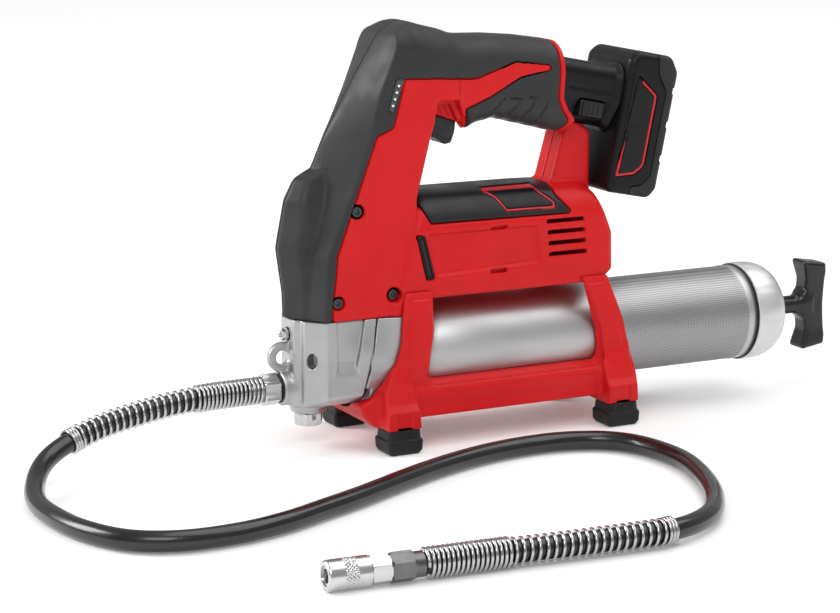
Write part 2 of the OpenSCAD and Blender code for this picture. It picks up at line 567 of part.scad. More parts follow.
// A hollow tube along points p
module sleeve(p, r1, r0, sides) {
    n = len(p);
    m = n * sides;
    polyhedron(
        [for (r = [r1, r0], i = [0:n - 1]) each sweep_ring(p, i, r, sides)],
        concat([for (i = [0:n - 2], j = [0:sides - 1]) let (a = i * sides, k = (j + 1) % sides)
                   [a + j, a + sides + j, a + sides + k, a + k]],
               [for (i = [0:n - 2], j = [0:sides - 1]) let (a = m + i * sides, k = (j + 1) % sides)
                   [a + k, a + sides + k, a + sides + j, a + j]],
               [for (j = [0:sides - 1]) let (k = (j + 1) % sides) [j, k, m + k, m + j]],
               [for (j = [0:sides - 1]) let (a = (n - 1) * sides, k = (j + 1) % sides)
                   [a + k, a + j, m + a + j, m + a + k]]));
}
// A round-wire spring along Z at distance x, from z0 to z1
module coil(x, z0, z1, r, wire, turns) {
    steps = 12;
    sides = 6;
    n = turns * steps;
    p = [for (i = [0:n]) [x + r * cos(360 * i / steps), r * sin(360 * i / steps),
                          z0 + wire + (z1 - z0 - 2 * wire) * i / n]];
    sweep(p, wire, sides);
}
module hose_nut() color([0.7, 0.71, 0.72]) {
    hex_x(-191, outlet_x, 14, outlet_z);
    ring_x(outlet_x, outlet_x + 9, 4.9, 0, outlet_z);
    ring_x(-198.8, -191, 6.3, 0, outlet_z);
}
module hose_tube() color([0.05, 0.05, 0.05]) sweep(route_points(0, 31, 2), hose_d / 2, 10);
module guard(spans) sleeve(route_points(spans[0], spans[1], 2), guard_d / 2, hose_d / 2 + 0.3, 12);
module guard_pump_end() color([0.75, 0.76, 0.77]) guard(pump_guard_spans);
module guard_coupler_end() color([0.75, 0.76, 0.77]) guard(coupler_guard_spans);
coupler_z = 8;
// The fittings at the end of the hose lie along the last span's direction
module hose_end_frame() translate([-215, -245, coupler_z]) rotate([0, 0, -4]) children();
module hose_end_fitting() color([0.45, 0.46, 0.48]) hose_end_frame() {
    ring_x(-6, -0.3, 6.4, 0, 0);
    hex_x(-18, -6, 13.5, 0);
}
module coupler() color([0.8, 0.81, 0.82]) hose_end_frame() difference() {
    union() {
        hex_x(-28, -18, 13.5, 0);
        ring_x(-50, -28, 7.6, 0, 0);
    }
    ring_x(-51, -42, 4.9, 0, 0);
    ring_x(-43, -24, 2, 0, 0);
}

housing_left();
housing_right();
overmould_left();
overmould_right();
motor_cover();
label_plate();
slot_inserts();
gauge_lens();
gauge_leds();
housing_screws();
cradle_left();
cradle_right();
foot_front_left();
foot_front_right();
foot_rear_left();
foot_rear_right();
pump_head();
head_plug();
check_ball();
check_spring();
piston_packing();
bleeder_valve();
tube_collar();
grease_tube();
rear_cap();
cap_gasket();
follower_spring();
follower();
follower_seal();
plunger_rod();
t_handle();
motor_can();
motor_magnets();
motor_bushes();
rotor();
sun_gear();
ring_gear();
gear_case();
carrier_bearing();
crank_carrier();
planet_gear_1();
planet_gear_2();
planet_gear_3();
yoke();
pump_piston();
trigger();
switch_body();
control_board();
terminal_block();
battery_case();
battery_base_shell();
battery_cells();
battery_latch_left();
battery_latch_right();
hose_nut();
hose_tube();
guard_pump_end();
guard_coupler_end();
hose_end_fitting();
coupler();
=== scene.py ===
"""Looks of the cordless grease gun. Lengths here are in millimetres, and MM turns them into metres."""
import math

import bpy
import numpy as np
import openvdb
from mathutils import Matrix


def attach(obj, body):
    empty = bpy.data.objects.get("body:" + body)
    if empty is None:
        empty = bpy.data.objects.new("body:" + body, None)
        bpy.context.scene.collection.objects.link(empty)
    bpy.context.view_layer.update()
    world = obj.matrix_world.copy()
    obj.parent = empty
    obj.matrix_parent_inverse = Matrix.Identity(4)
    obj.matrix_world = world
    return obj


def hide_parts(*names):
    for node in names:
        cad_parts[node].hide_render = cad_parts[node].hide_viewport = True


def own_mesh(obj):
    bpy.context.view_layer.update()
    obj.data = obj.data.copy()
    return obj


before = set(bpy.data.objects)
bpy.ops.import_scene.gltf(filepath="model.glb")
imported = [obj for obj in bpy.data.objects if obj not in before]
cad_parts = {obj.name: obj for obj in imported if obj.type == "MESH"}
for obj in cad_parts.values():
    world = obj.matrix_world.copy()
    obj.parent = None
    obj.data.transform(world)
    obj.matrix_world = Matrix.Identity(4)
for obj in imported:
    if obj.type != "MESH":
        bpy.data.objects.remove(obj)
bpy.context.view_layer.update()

MM = 0.001
COARSE = 1.0     # factor on every grid step and wire division

# ---- camera and light -------------------------------------------------------------------------
CAMERA_AT = (-728.5, -1249.0, 371.6)
CAMERA_RIGHT = (0.891, -0.454, 0.0)
CAMERA_BACK = (-0.444, -0.8715, 0.208)
CAMERA_LENS = 107.14
SENSOR_WIDTH = 36.0
CLIP_END = 20.0                         # in metres
WORLD_STRENGTH = 0.42
LAMPS = [                               # name, place, target, size, power
    ("key", (-1.1, -1.5, 1.5), (0, 0, 0.1), (1.0, 0.8), 13),
    ("top", (0.6, -0.3, 1.8), (0, 0, 0.1), (2.0, 2.0), 26),
    ("front", (-1.5, 0.8, 0.9), (-0.1, 0, 0.1), (0.8, 0.9), 26)]


def unit(vector):
    vector = np.asarray(vector, float)
    return vector / np.linalg.norm(vector)


def placed(right, back, place):
    """Matrix of a thing at place, in metres, from the directions of its own X and Z."""
    up = np.cross(back, right)
    return Matrix([[right[i], up[i], back[i], place[i]] for i in range(3)] + [[0, 0, 0, 1]])


def show(name, data):
    """A new object in the scene."""
    thing = bpy.data.objects.new(name, data)
    bpy.context.scene.collection.objects.link(thing)
    return thing


def add_camera():
    lens = bpy.data.cameras.new("camera")
    lens.lens = CAMERA_LENS
    lens.sensor_width = SENSOR_WIDTH
    lens.clip_end = CLIP_END
    back = unit(CAMERA_BACK)
    right = unit(np.asarray(CAMERA_RIGHT) - back * np.dot(back, CAMERA_RIGHT))
    camera = show("camera", lens)
    camera.matrix_world = placed(right, back, np.asarray(CAMERA_AT) * MM)
    bpy.context.scene.camera = camera


def add_light(name, place, target, size, power):
    """A rectangular lamp: places and sizes in metres, power in watts."""
    light = bpy.data.lights.new(name, "AREA")
    light.shape = "RECTANGLE"
    light.size, light.size_y = size
    light.energy = power
    back = unit(np.subtract(place, target))
    right = unit(np.cross((0, 0, 1), back))
    show(name, light).matrix_world = placed(right, back, place)


def add_studio():
    world = bpy.data.worlds.new("studio")
    bpy.context.scene.world = world
    world.use_nodes = True
    background = world.node_tree.nodes["Background"]
    background.inputs["Color"].default_value = (1.0, 1.0, 1.0, 1.0)
    background.inputs["Strength"].default_value = WORLD_STRENGTH
    for lamp in LAMPS:
        add_light(*lamp)
    bpy.context.scene.view_settings.view_transform = "Standard"
    bpy.context.scene.view_settings.look = "None"


add_camera()
add_studio()


# ---- materials --------------------------------------------------------------------------------
# stretches with a pattern of their own, in metres: the grip's texture and the painted shade of the
# tube's knurl
TEXTURE_X, TEXTURE_Z = (-0.098, -0.022), (0.2115, 0.260)
KNURL_SHADE_X = (0.018, 0.116)


class Finish:
    """A procedural material on the Principled shader, built in steps."""

    def __init__(self, name, colour, roughness, metallic=0.0, **sockets):
        self.material = bpy.data.materials.new(name)
        self.material.use_nodes = True
        self.nodes = self.material.node_tree.nodes
        self.links = self.material.node_tree.links
        self.shader = self.nodes["Principled BSDF"]
        self.colour = colour
        self.set("Base Color", (*colour, 1.0))
        self.set("Roughness", roughness)
        self.set("Metallic", metallic)
        for socket, value in sockets.items():
            self.set(socket.replace("_", " "), value)
        self.place = self.nodes.new("ShaderNodeTexCoord").outputs["Object"]
        self.normal = None

    def set(self, socket, value):
        self.shader.inputs[socket].default_value = value

    def stretched(self, scale):
        """Object coordinates in metres, multiplied along each axis."""
        mapping = self.nodes.new("ShaderNodeMapping")
        mapping.inputs["Scale"].default_value = scale
        self.links.new(self.place, mapping.inputs["Vector"])
        return mapping.outputs["Vector"]

    def noise(self, scale, detail=3.0, stretch=(1, 1, 1)):
        noise = self.nodes.new("ShaderNodeTexNoise")
        noise.inputs["Scale"].default_value = scale
        noise.inputs["Detail"].default_value = detail
        self.links.new(self.stretched(stretch), noise.inputs["Vector"])
        return noise.outputs["Fac"]

    def cells(self, scale, stretch=(1, 1, 1)):
        cells = self.nodes.new("ShaderNodeTexVoronoi")
        cells.inputs["Scale"].default_value = scale
        self.links.new(self.stretched(stretch), cells.inputs["Vector"])
        return cells.outputs["Distance"]

    def ramp(self, value, low, high, start=0.35, end=0.65):
        ramp = self.nodes.new("ShaderNodeMapRange")
        ramp.interpolation_type = "SMOOTHSTEP"
        ramp.inputs["From Min"].default_value = start
        ramp.inputs["From Max"].default_value = end
        ramp.inputs["To Min"].default_value = low
        ramp.inputs["To Max"].default_value = high
        self.links.new(value, ramp.inputs["Value"])
        return ramp.outputs["Result"]

    def product(self, a, b):
        node = self.nodes.new("ShaderNodeMath")
        node.operation = "MULTIPLY"
        self.links.new(a, node.inputs[0])
        self.links.new(b, node.inputs[1])
        return node.outputs["Value"]

    def blend_colour(self, other, share):
        """From the material's own colour to another, by a share from 0 to 1."""
        mix = self.nodes.new("ShaderNodeMix")
        mix.data_type = "RGBA"
        mix.inputs["A"].default_value = (*self.colour, 1.0)
        mix.inputs["B"].default_value = (*other, 1.0)
        self.links.new(share, mix.inputs["Factor"])
        self.links.new(mix.outputs["Result"], self.shader.inputs["Base Color"])

    def vary_colour(self, other, scale, stretch=(1, 1, 1)):
        self.blend_colour(other, self.ramp(self.noise(scale, 5.0, stretch), 0.0, 1.0))

    def vary_roughness(self, low, high, scale, stretch=(1, 1, 1)):
        self.links.new(self.ramp(self.noise(scale, 6.0, stretch), low, high),
                       self.shader.inputs["Roughness"])

    def bump(self, height, depth, strength=1.0, mask=None):
        """Adds a bump of that depth in metres, over those added before."""
        node = self.nodes.new("ShaderNodeBump")
        node.inputs["Strength"].default_value = strength
        node.inputs["Distance"].default_value = depth
        if mask is not None:
            height = self.product(height, mask)
        self.links.new(height, node.inputs["Height"])
        if self.normal is not None:
            self.links.new(self.normal, node.inputs["Normal"])
        self.normal = node.outputs["Normal"]
        self.links.new(self.normal, self.shader.inputs["Normal"])

    def inside(self, axis, low, high, soft):
        """1 where an object coordinate lies between low and high, fading over soft."""
        split = self.nodes.new("ShaderNodeSeparateXYZ")
        self.links.new(self.place, split.inputs["Vector"])
        rise = self.ramp(split.outputs[axis], 0.0, 1.0, low - soft, low + soft)
        fall = self.ramp(split.outputs[axis], 1.0, 0.0, high - soft, high + soft)
        return self.product(rise, fall)


def moulded(name, colour, roughness, grain=2600, depth=0.00003, **sockets):
    """Moulded plastic: a fine spark texture, faint clouding and handling marks."""
    finish = Finish(name, colour, roughness, **sockets)
    lighter = tuple(min(1.0, 1.05 * c + 0.001) for c in colour)
    finish.vary_colour(lighter, 45)
    finish.vary_roughness(roughness - 0.05, roughness + 0.06, 60)
    finish.bump(finish.noise(grain, 2.0), depth)
    return finish.material


def rubber_finish(name, colour, roughness):
    """Soft rubber: finely matt, with dusty lighter patches."""
    finish = Finish(name, colour, roughness, Specular_IOR_Level=0.26)
    finish.vary_colour(tuple(1.12 * c + 0.001 for c in colour), 38)
    finish.vary_roughness(roughness - 0.06, roughness + 0.08, 80)
    finish.bump(finish.noise(3200, 2.0), 0.00004)
    return finish


def rubber(name, colour, roughness):
    return rubber_finish(name, colour, roughness).material


def metal(name, colour, low, high, stretch=(1, 1, 1), grain=900, depth=0.00002):
    """Bare metal, with roughness from low to high and grain stretched along its lay."""
    finish = Finish(name, colour, (low + high) / 2, 1.0)
    finish.vary_colour(tuple(0.95 * c for c in colour), 70, stretch)
    finish.vary_roughness(low, high, 160, stretch)
    finish.bump(finish.noise(grain, 3.0, stretch), depth)
    return finish.material


def grip_rubber():
    """The overmould's rubber, with a cellular texture on the top of the grip."""
    finish = rubber_finish("grip_rubber", (0.026, 0.027, 0.028), 0.46)
    patch = finish.product(finish.inside("X", *TEXTURE_X, 0.002),
                           finish.inside("Z", *TEXTURE_Z, 0.0015))
    finish.bump(finish.cells(1250), 0.0002, 0.9, patch)
    return finish.material


def tube_steel():
    """Satin steel, with painted shade darkening the fine mesh of the knurl over its rear part."""
    lay = (0.3, 1, 1)
    finish = Finish("tube_steel", (0.52, 0.52, 0.525), 0.445, 1.0)
    finish.vary_roughness(0.43, 0.46, 160, lay)
    finish.bump(finish.noise(900, 3.0, lay), 0.00002)
    waves = []
    for direction in ("X", "Z"):
        wave = finish.nodes.new("ShaderNodeTexWave")
        wave.bands_direction = direction
        wave.inputs["Scale"].default_value = 290
        finish.links.new(finish.place, wave.inputs["Vector"])
        waves.append(wave.outputs["Fac"])
    # painted shade: the knurl's mesh is darkened in the colour, as if shaded in its grooves
    mesh = finish.ramp(finish.product(*waves), 1.0, 0.0, 0.1, 0.7)
    knurl = finish.inside("X", *KNURL_SHADE_X, 0.0005)
    finish.blend_colour((0.27, 0.27, 0.275), finish.product(knurl, mesh))
    return finish.material


RED = moulded("red_plastic", (0.58, 0.007, 0.009), 0.40, Specular_IOR_Level=0.22)
RUBBER = grip_rubber()
BLACK = moulded("black_plastic", (0.006, 0.006, 0.007), 0.42, Specular_IOR_Level=0.25)
COVER = moulded("cover_plastic", (0.012, 0.012, 0.013), 0.36, Specular_IOR_Level=0.3)
HANDLE = moulded("handle_plastic", (0.005, 0.005, 0.006), 0.30, 1500, 0.00002)
BATTERY = moulded("battery_plastic", (0.004, 0.004, 0.005), 0.36, Specular_IOR_Level=0.22)
BUMPER = rubber("battery_bumper", (0.018, 0.018, 0.019), 0.5)
FOOT = rubber("foot_rubber", (0.010, 0.010, 0.011), 0.5)
CAST = metal("cast_metal", (0.46, 0.465, 0.47), 0.42, 0.48, grain=1900, depth=0.00006)
TUBE = tube_steel()
CAP = metal("cap_metal", (0.70, 0.70, 0.70), 0.46, 0.52, grain=1400, depth=0.00004)
STEEL = metal("zinc_steel", (0.58, 0.58, 0.58), 0.2, 0.30, (0.2, 1, 1))
SPRING = metal("spring_wire", (0.50, 0.50, 0.51), 0.16, 0.24)
DARK_STEEL = metal("dark_steel", (0.16, 0.16, 0.165), 0.28, 0.40)
# the screws' dark steel, darker still as painted shade from their deep counterbores
DARK_STEEL_AND_SHADE = metal("dark_steel_and_shade", (0.07, 0.07, 0.072), 0.26, 0.38)
BRONZE = metal("sintered_bronze", (0.60, 0.40, 0.18), 0.35, 0.5, grain=2200, depth=0.00004)
COPPER = metal("copper_winding", (0.62, 0.27, 0.12), 0.25, 0.38, (0.1, 1, 1))
HOSE = moulded("hose_rubber", (0.006, 0.006, 0.006), 0.24, 900, 0.00002, Coat_Weight=0.2)
SEAL = rubber("nitrile_rubber", (0.016, 0.016, 0.016), 0.45)
LENS = moulded("smoked_lens", (0.012, 0.012, 0.013), 0.15, 800, 0.00001, Coat_Weight=0.6)
LED = moulded("led_lens", (0.82, 0.84, 0.86), 0.25)
LABEL = moulded("label_black", (0.003, 0.003, 0.004), 0.30, 1200, 0.00001,
                Specular_IOR_Level=0.25)
LABEL_RED = moulded("label_red", (0.50, 0.010, 0.014), 0.32, 1200, 0.00001)
BOARD = moulded("board_green", (0.02, 0.15, 0.06), 0.4)
WRAP = moulded("cell_wrap", (0.05, 0.15, 0.40), 0.25, 700, 0.00002)
PACKING = moulded("packing", (0.74, 0.72, 0.64), 0.5)


# ---- fields: signed distances in millimetres, negative inside ---------------------------------
def rounded(corners):
    """The points of a closed outline, from corners (u, v) or (u, v, radius)."""
    points = []
    count = len(corners)
    for i, corner in enumerate(corners):
        middle = np.array(corner[:2], float)
        radius = corner[2] if len(corner) > 2 else 0.0
        before = unit(np.array(corners[i - 1][:2]) - middle)
        after = unit(np.array(corners[(i + 1) % count][:2]) - middle)
        half = math.acos(np.clip(before @ after, -1, 1)) / 2
        if radius < 0.1 or half > math.radians(88):
            points.append(middle)
            continue
        centre = middle + unit(before + after) * radius / math.sin(half)
        start = middle + before * radius / math.tan(half) - centre
        end = middle + after * radius / math.tan(half) - centre
        angle = math.atan2(start[1], start[0])
        sweep = (math.atan2(end[1], end[0]) - angle + math.pi) % (2 * math.pi) - math.pi
        steps = max(2, math.ceil(abs(sweep) / math.radians(12)))
        for k in range(steps + 1):
            turn = angle + sweep * k / steps
            points.append(centre + radius * np.array((math.cos(turn), math.sin(turn))))
    return points


def stroke_distance(u, v, points):
    """Distance from an open line of points."""
    nearest = np.full(np.broadcast_shapes(u.shape, v.shape), 1e9, np.float32)
    for a, b in zip(points, points[1:]):
        edge = np.subtract(b[:2], a[:2]).astype(np.float32)
        du, dv = u - np.float32(a[0]), v - np.float32(a[1])
        along = np.clip((du * edge[0] + dv * edge[1]) / max(edge @ edge, 1e-9), 0, 1)
        nearest = np.minimum(nearest, (du - along * edge[0]) ** 2 + (dv - along * edge[1]) ** 2)
    return np.sqrt(nearest)


def outline_distance(u, v, corners):
    """Signed distance from a closed outline."""
    points = rounded(corners)
    closed = points + points[:1]
    inside = np.zeros(np.broadcast_shapes(u.shape, v.shape), bool)
    for a, b in zip(closed, closed[1:]):
        rise = b[1] - a[1]
        if abs(rise) > 1e-9:
            crossing = ((a[1] > v) != (b[1] > v)) & (u < (b[0] - a[0]) * (v - a[1]) / rise + a[0])
            inside ^= crossing
    return np.where(inside, -1, 1).astype(np.float32) * stroke_distance(u, v, closed)


def smooth_min(a, b, blend):
    """Either field, with the valley between them filled over a width."""
    share = np.clip(0.5 + 0.5 * (b - a) / blend, 0, 1)
    return b + (a - b) * share - blend * share * (1 - share)


def smooth_max(a, b, blend):
    return -smooth_min(-a, -b, blend)


def round_max(a, b, radius):
    """Both fields at once, with the edge between them rounded to a radius."""
    corner = np.hypot(np.maximum(a + radius, 0), np.maximum(b + radius, 0))
    return np.minimum(np.maximum(a, b), -radius) + corner


def cut(body, tool, edge=0.0):
    """Body less tool, with a chamfered edge."""
    field = np.maximum(body, -tool)
    if edge:
        field = np.maximum(field, (body - tool + edge) * 0.7071)
    return field


def step(value, start, end):
    """Smoothly 0 to 1 as value goes from start to end."""
    t = np.clip((value - start) / (end - start), 0, 1)
    return t * t * (3 - 2 * t)


def common(*fields):
    """Inside where all the fields are."""
    result = fields[0]
    for field in fields[1:]:
        result = np.maximum(result, field)
    return result


def profile(value, levels, sizes):
    """The size at each value, in straight runs between the levels."""
    return np.interp(value, levels, sizes).astype(np.float32)


def box_distance(u, v, low, high):
    return common(low[0] - u, u - high[0], low[1] - v, v - high[1])


def bar(b, low, high, half):
    """A box between two corners in the XZ plane, reaching half to each side of Y = 0."""
    return common(box_distance(b.x, b.z, low, high), np.abs(b.y) - half)


class Block:
    """A regular grid of sample points, in millimetres."""

    def __init__(self, low, high, spacing):
        self.spacing = spacing * COARSE
        self.low = np.array(low, float) - 2.37 * self.spacing
        self.counts = [int((high[i] - self.low[i]) / self.spacing) + 4 for i in range(3)]
        axes = [(self.low[i] + self.spacing * np.arange(self.counts[i])).astype(np.float32)
                for i in range(3)]
        self.x = axes[0][:, None, None]
        self.y = axes[1][None, :, None]
        self.z = axes[2][None, None, :]

    def outline(self, corners):
        """Signed distance from an outline in the XZ plane."""
        return outline_distance(self.x, self.z, corners)

    def stroke(self, points):
        return stroke_distance(self.x, self.z, points)

    def mesh(self, field):
        """Points and faces of the field's zero surface."""
        samples = np.ascontiguousarray(np.broadcast_to(field, self.counts), np.float32)
        grid = openvdb.FloatGrid(4.0)
        grid.copyFromArray(np.clip(samples, -4.0, 4.0))
        points, quads = grid.convertToQuads(isovalue=0.0)
        return np.asarray(points, float) * self.spacing + self.low, np.asarray(quads)[:, ::-1]


# ---- meshes -----------------------------------------------------------------------------------
def joined(parts):
    """Several (points, faces) as one."""
    points, faces, start = [], [], 0
    for part_points, part_faces in parts:
        points.append(np.asarray(part_points, float))
        faces += [[start + i for i in face] for face in part_faces]
        start += len(part_points)
    return np.concatenate(points), faces


def mirrored(part):
    """The part on the other side of Y = 0."""
    points, faces = part
    return np.asarray(points) * (1, -1, 1), [list(face)[::-1] for face in faces]


def moved(part, matrix):
    """The part turned and shifted by a 4 x 4 matrix."""
    points, faces = part
    matrix = np.array(matrix)
    return np.asarray(points) @ matrix[:3, :3].T + matrix[:3, 3], faces


def make_piece(name, part, material, slot, replaces, body="root", crease=None):
    """A shown object from (points, faces) in millimetres, riding on a body. Edges over crease,
    in degrees, stay sharp."""
    points, faces = part
    mesh = bpy.data.meshes.new(name)
    mesh.from_pydata((np.asarray(points) * MM).tolist(), [], [list(map(int, f)) for f in faces])
    mesh.validate()
    mesh.shade_smooth()
    if crease is not None:
        mesh.set_sharp_from_angle(angle=math.radians(crease))
    mesh.materials.append(material)
    thing = show(name, mesh)
    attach(thing, body)
    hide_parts(*replaces)
    return thing


def turned(profile, segments=96, across=None, closed=False, shape=None):
    """A solid turned about X from points (x, radius). across makes it a hexagon of that size
    across its flats where the radius is larger, and shape(x, radius, angle) changes the radius."""
    points, faces, rings = [], [], []
    for x, radius in profile:
        rings.append((len(points), 1 if radius == 0 else segments))
        for k in range(rings[-1][1]):
            angle = 2 * math.pi * k / segments
            r = radius
            if across:
                r = min(r, across / 2 / math.cos((angle + math.pi / 6) % (math.pi / 3) - math.pi / 6))
            if shape:
                r = shape(x, r, angle)
            points.append((x, r * math.cos(angle), r * math.sin(angle)))
    pairs = list(zip(rings, rings[1:])) + ([(rings[-1], rings[0])] if closed else [])
    for (a, count_a), (b, count_b) in pairs:
        for k in range(segments):
            j = (k + 1) % segments
            if count_a == 1 and count_b == 1:
                continue
            if count_a == 1:
                faces.append((a, b + j, b + k))
            elif count_b == 1:
                faces.append((a + k, a + j, b))
            else:
                faces.append((a + k, a + j, b + j, b + k))
    return np.array(points), [face[::-1] for face in faces]


def lifted(part, offset):
    return np.asarray(part[0]) + offset, part[1]


def smooth_path(route, samples):
    """Points along a smooth curve through the route, with the same number in each span."""
    route = np.asarray(route, float)
    ends = np.vstack([2 * route[0] - route[1], route, 2 * route[-1] - route[-2]])
    points = []
    for i in range(len(route) - 1):
        a, b, c, d = ends[i:i + 4]
        for k in range(samples):
            t = k / samples
            points.append((2 * b + (c - a) * t + (2 * a - 5 * b + 4 * c - d) * t ** 2
                           + (3 * b - a - 3 * c + d) * t ** 3) / 2)
    points.append(route[-1])
    return np.array(points)


def along(points):
    """Distance along a line of points at each of them."""
    return np.concatenate([[0.0], np.cumsum(np.linalg.norm(np.diff(points, axis=0), axis=1))])


def tube(points, radius, sides, up=(0, 0, 1)):
    """A closed tube along points; up is one direction, or one for each point."""
    points = np.asarray(points, float)
    radius = np.broadcast_to(radius, len(points))
    tangents = np.gradient(points, axis=0)
    tangents /= np.linalg.norm(tangents, axis=1)[:, None]
    side = np.cross(tangents, np.broadcast_to(up, points.shape))
    side /= np.linalg.norm(side, axis=1)[:, None]
    over = np.cross(side, tangents)
    turn = 2 * math.pi * np.arange(sides) / sides
    ring = (side[:, None] * np.cos(turn)[None, :, None] + over[:, None] * np.sin(turn)[None, :, None])
    shell = (points[:, None] + radius[:, None, None] * ring).reshape(-1, 3)
    faces = []
    for i in range(len(points) - 1):
        for k in range(sides):
            j = (k + 1) % sides
            faces.append((i * sides + k, i * sides + j, (i + 1) * sides + j, (i + 1) * sides + k))
    last = (len(points) - 1) * sides
    faces.append(tuple(range(sides))[::-1])
    faces.append(tuple(last + k for k in range(sides)))
    return shell, faces


def coil(path, pitch_at, radius_at, wire):
    """A wire wound round a path. pitch_at and radius_at give mm for a distance along it."""
    place = along(path)
    spacing = 1.0 / 16
    turns = [0.0]
    distance = [0.0]
    while distance[-1] < place[-1]:
        distance.append(distance[-1] + spacing * COARSE * pitch_at(distance[-1]))
        turns.append(turns[-1] + spacing * COARSE)
    distance = np.minimum(distance, place[-1])
    centres = np.stack([np.interp(distance, place, path[:, i]) for i in range(3)], 1)
    tangents = np.stack([np.interp(distance, place, np.gradient(path[:, i], place))
                         for i in range(3)], 1)
    tangents /= np.linalg.norm(tangents, axis=1)[:, None]
    side = np.cross(tangents, (0, 0, 1))
    side /= np.linalg.norm(side, axis=1)[:, None]
    over = np.cross(side, tangents)
    angle = 2 * math.pi * np.array(turns)
    radial = side * np.cos(angle)[:, None] + over * np.sin(angle)[:, None]
    reach = np.array([radius_at(d) for d in distance])
    return tube(centres + radial * reach[:, None], wire, 8, radial)


# ---- hose -------------------------------------------------------------------------------------
HOSE_ROUTE = [
    (-199, 0, 35.3), (-221, 0, 35), (-243, -1, 34), (-265, -2, 31), (-287, -4, 27),
    (-308, -8, 21), (-324, -17, 15), (-336, -35, 9), (-343, -60, 6), (-343, -90, 6),
    (-337, -118, 6), (-323, -142, 6), (-300, -154, 6), (-271, -155, 6), (-243, -148, 6),
    (-216, -136, 6), (-190, -124, 6), (-158, -107, 6), (-127, -92, 6), (-96, -81, 6),
    (-68, -76, 6), (-42, -77, 6), (-19, -87, 6), (-6, -107, 6), (-3, -141, 6),
    (-13, -178, 6), (-29, -211, 6), (-51, -238, 7), (-82, -253, 8), (-125, -252, 8),
    (-170, -248, 8), (-215, -245, 8)]
HOSE_RADIUS = 5.4
ROUTE_SAMPLES = 12
PUMP_GUARD_SPANS = (0, 5)
COUPLER_GUARD_SPANS = (28, 31)
TIGHT_PITCH, OPEN_PITCH = 2.5, 4.2      # of the guard springs, near the nut and beyond
TIGHT_RADIUS, OPEN_RADIUS = 7.1, 6.35
TIGHT_SHARE = 0.34                      # of the guard's length
GUARD_WIRE = 0.9
OUTLET_Z = 35.3
COUPLER_TURN = math.radians(-4)
NUT_ACROSS, FITTING_ACROSS = 16.0, 13.5
COUPLER_KNURL = (-41.5, -35.0)
COUPLER_KNURL_COUNT = 22
CREASE = 28                             # degrees, for turned steel


def make_guard(name, path):
    length = along(path)[-1]
    tight = TIGHT_SHARE * length

    def pitch_at(s):
        opening = step(s, tight - 4, tight + 2)
        closing = step(s, length - 8.0, length - 5.0)
        return TIGHT_PITCH + (OPEN_PITCH - TIGHT_PITCH) * opening * (1 - closing) - 0.7 * closing

    def radius_at(s):
        return TIGHT_RADIUS + (OPEN_RADIUS - TIGHT_RADIUS) * step(s, tight - 3, tight + 3)

    return make_piece(name, coil(path, pitch_at, radius_at, GUARD_WIRE), SPRING, "spring_steel",
                      [name])


def at_hose_end():
    """From a frame along X at the hose's end, its coupler towards -X."""
    return Matrix.Translation(HOSE_ROUTE[-1]) @ Matrix.Rotation(COUPLER_TURN, 4, "Z")


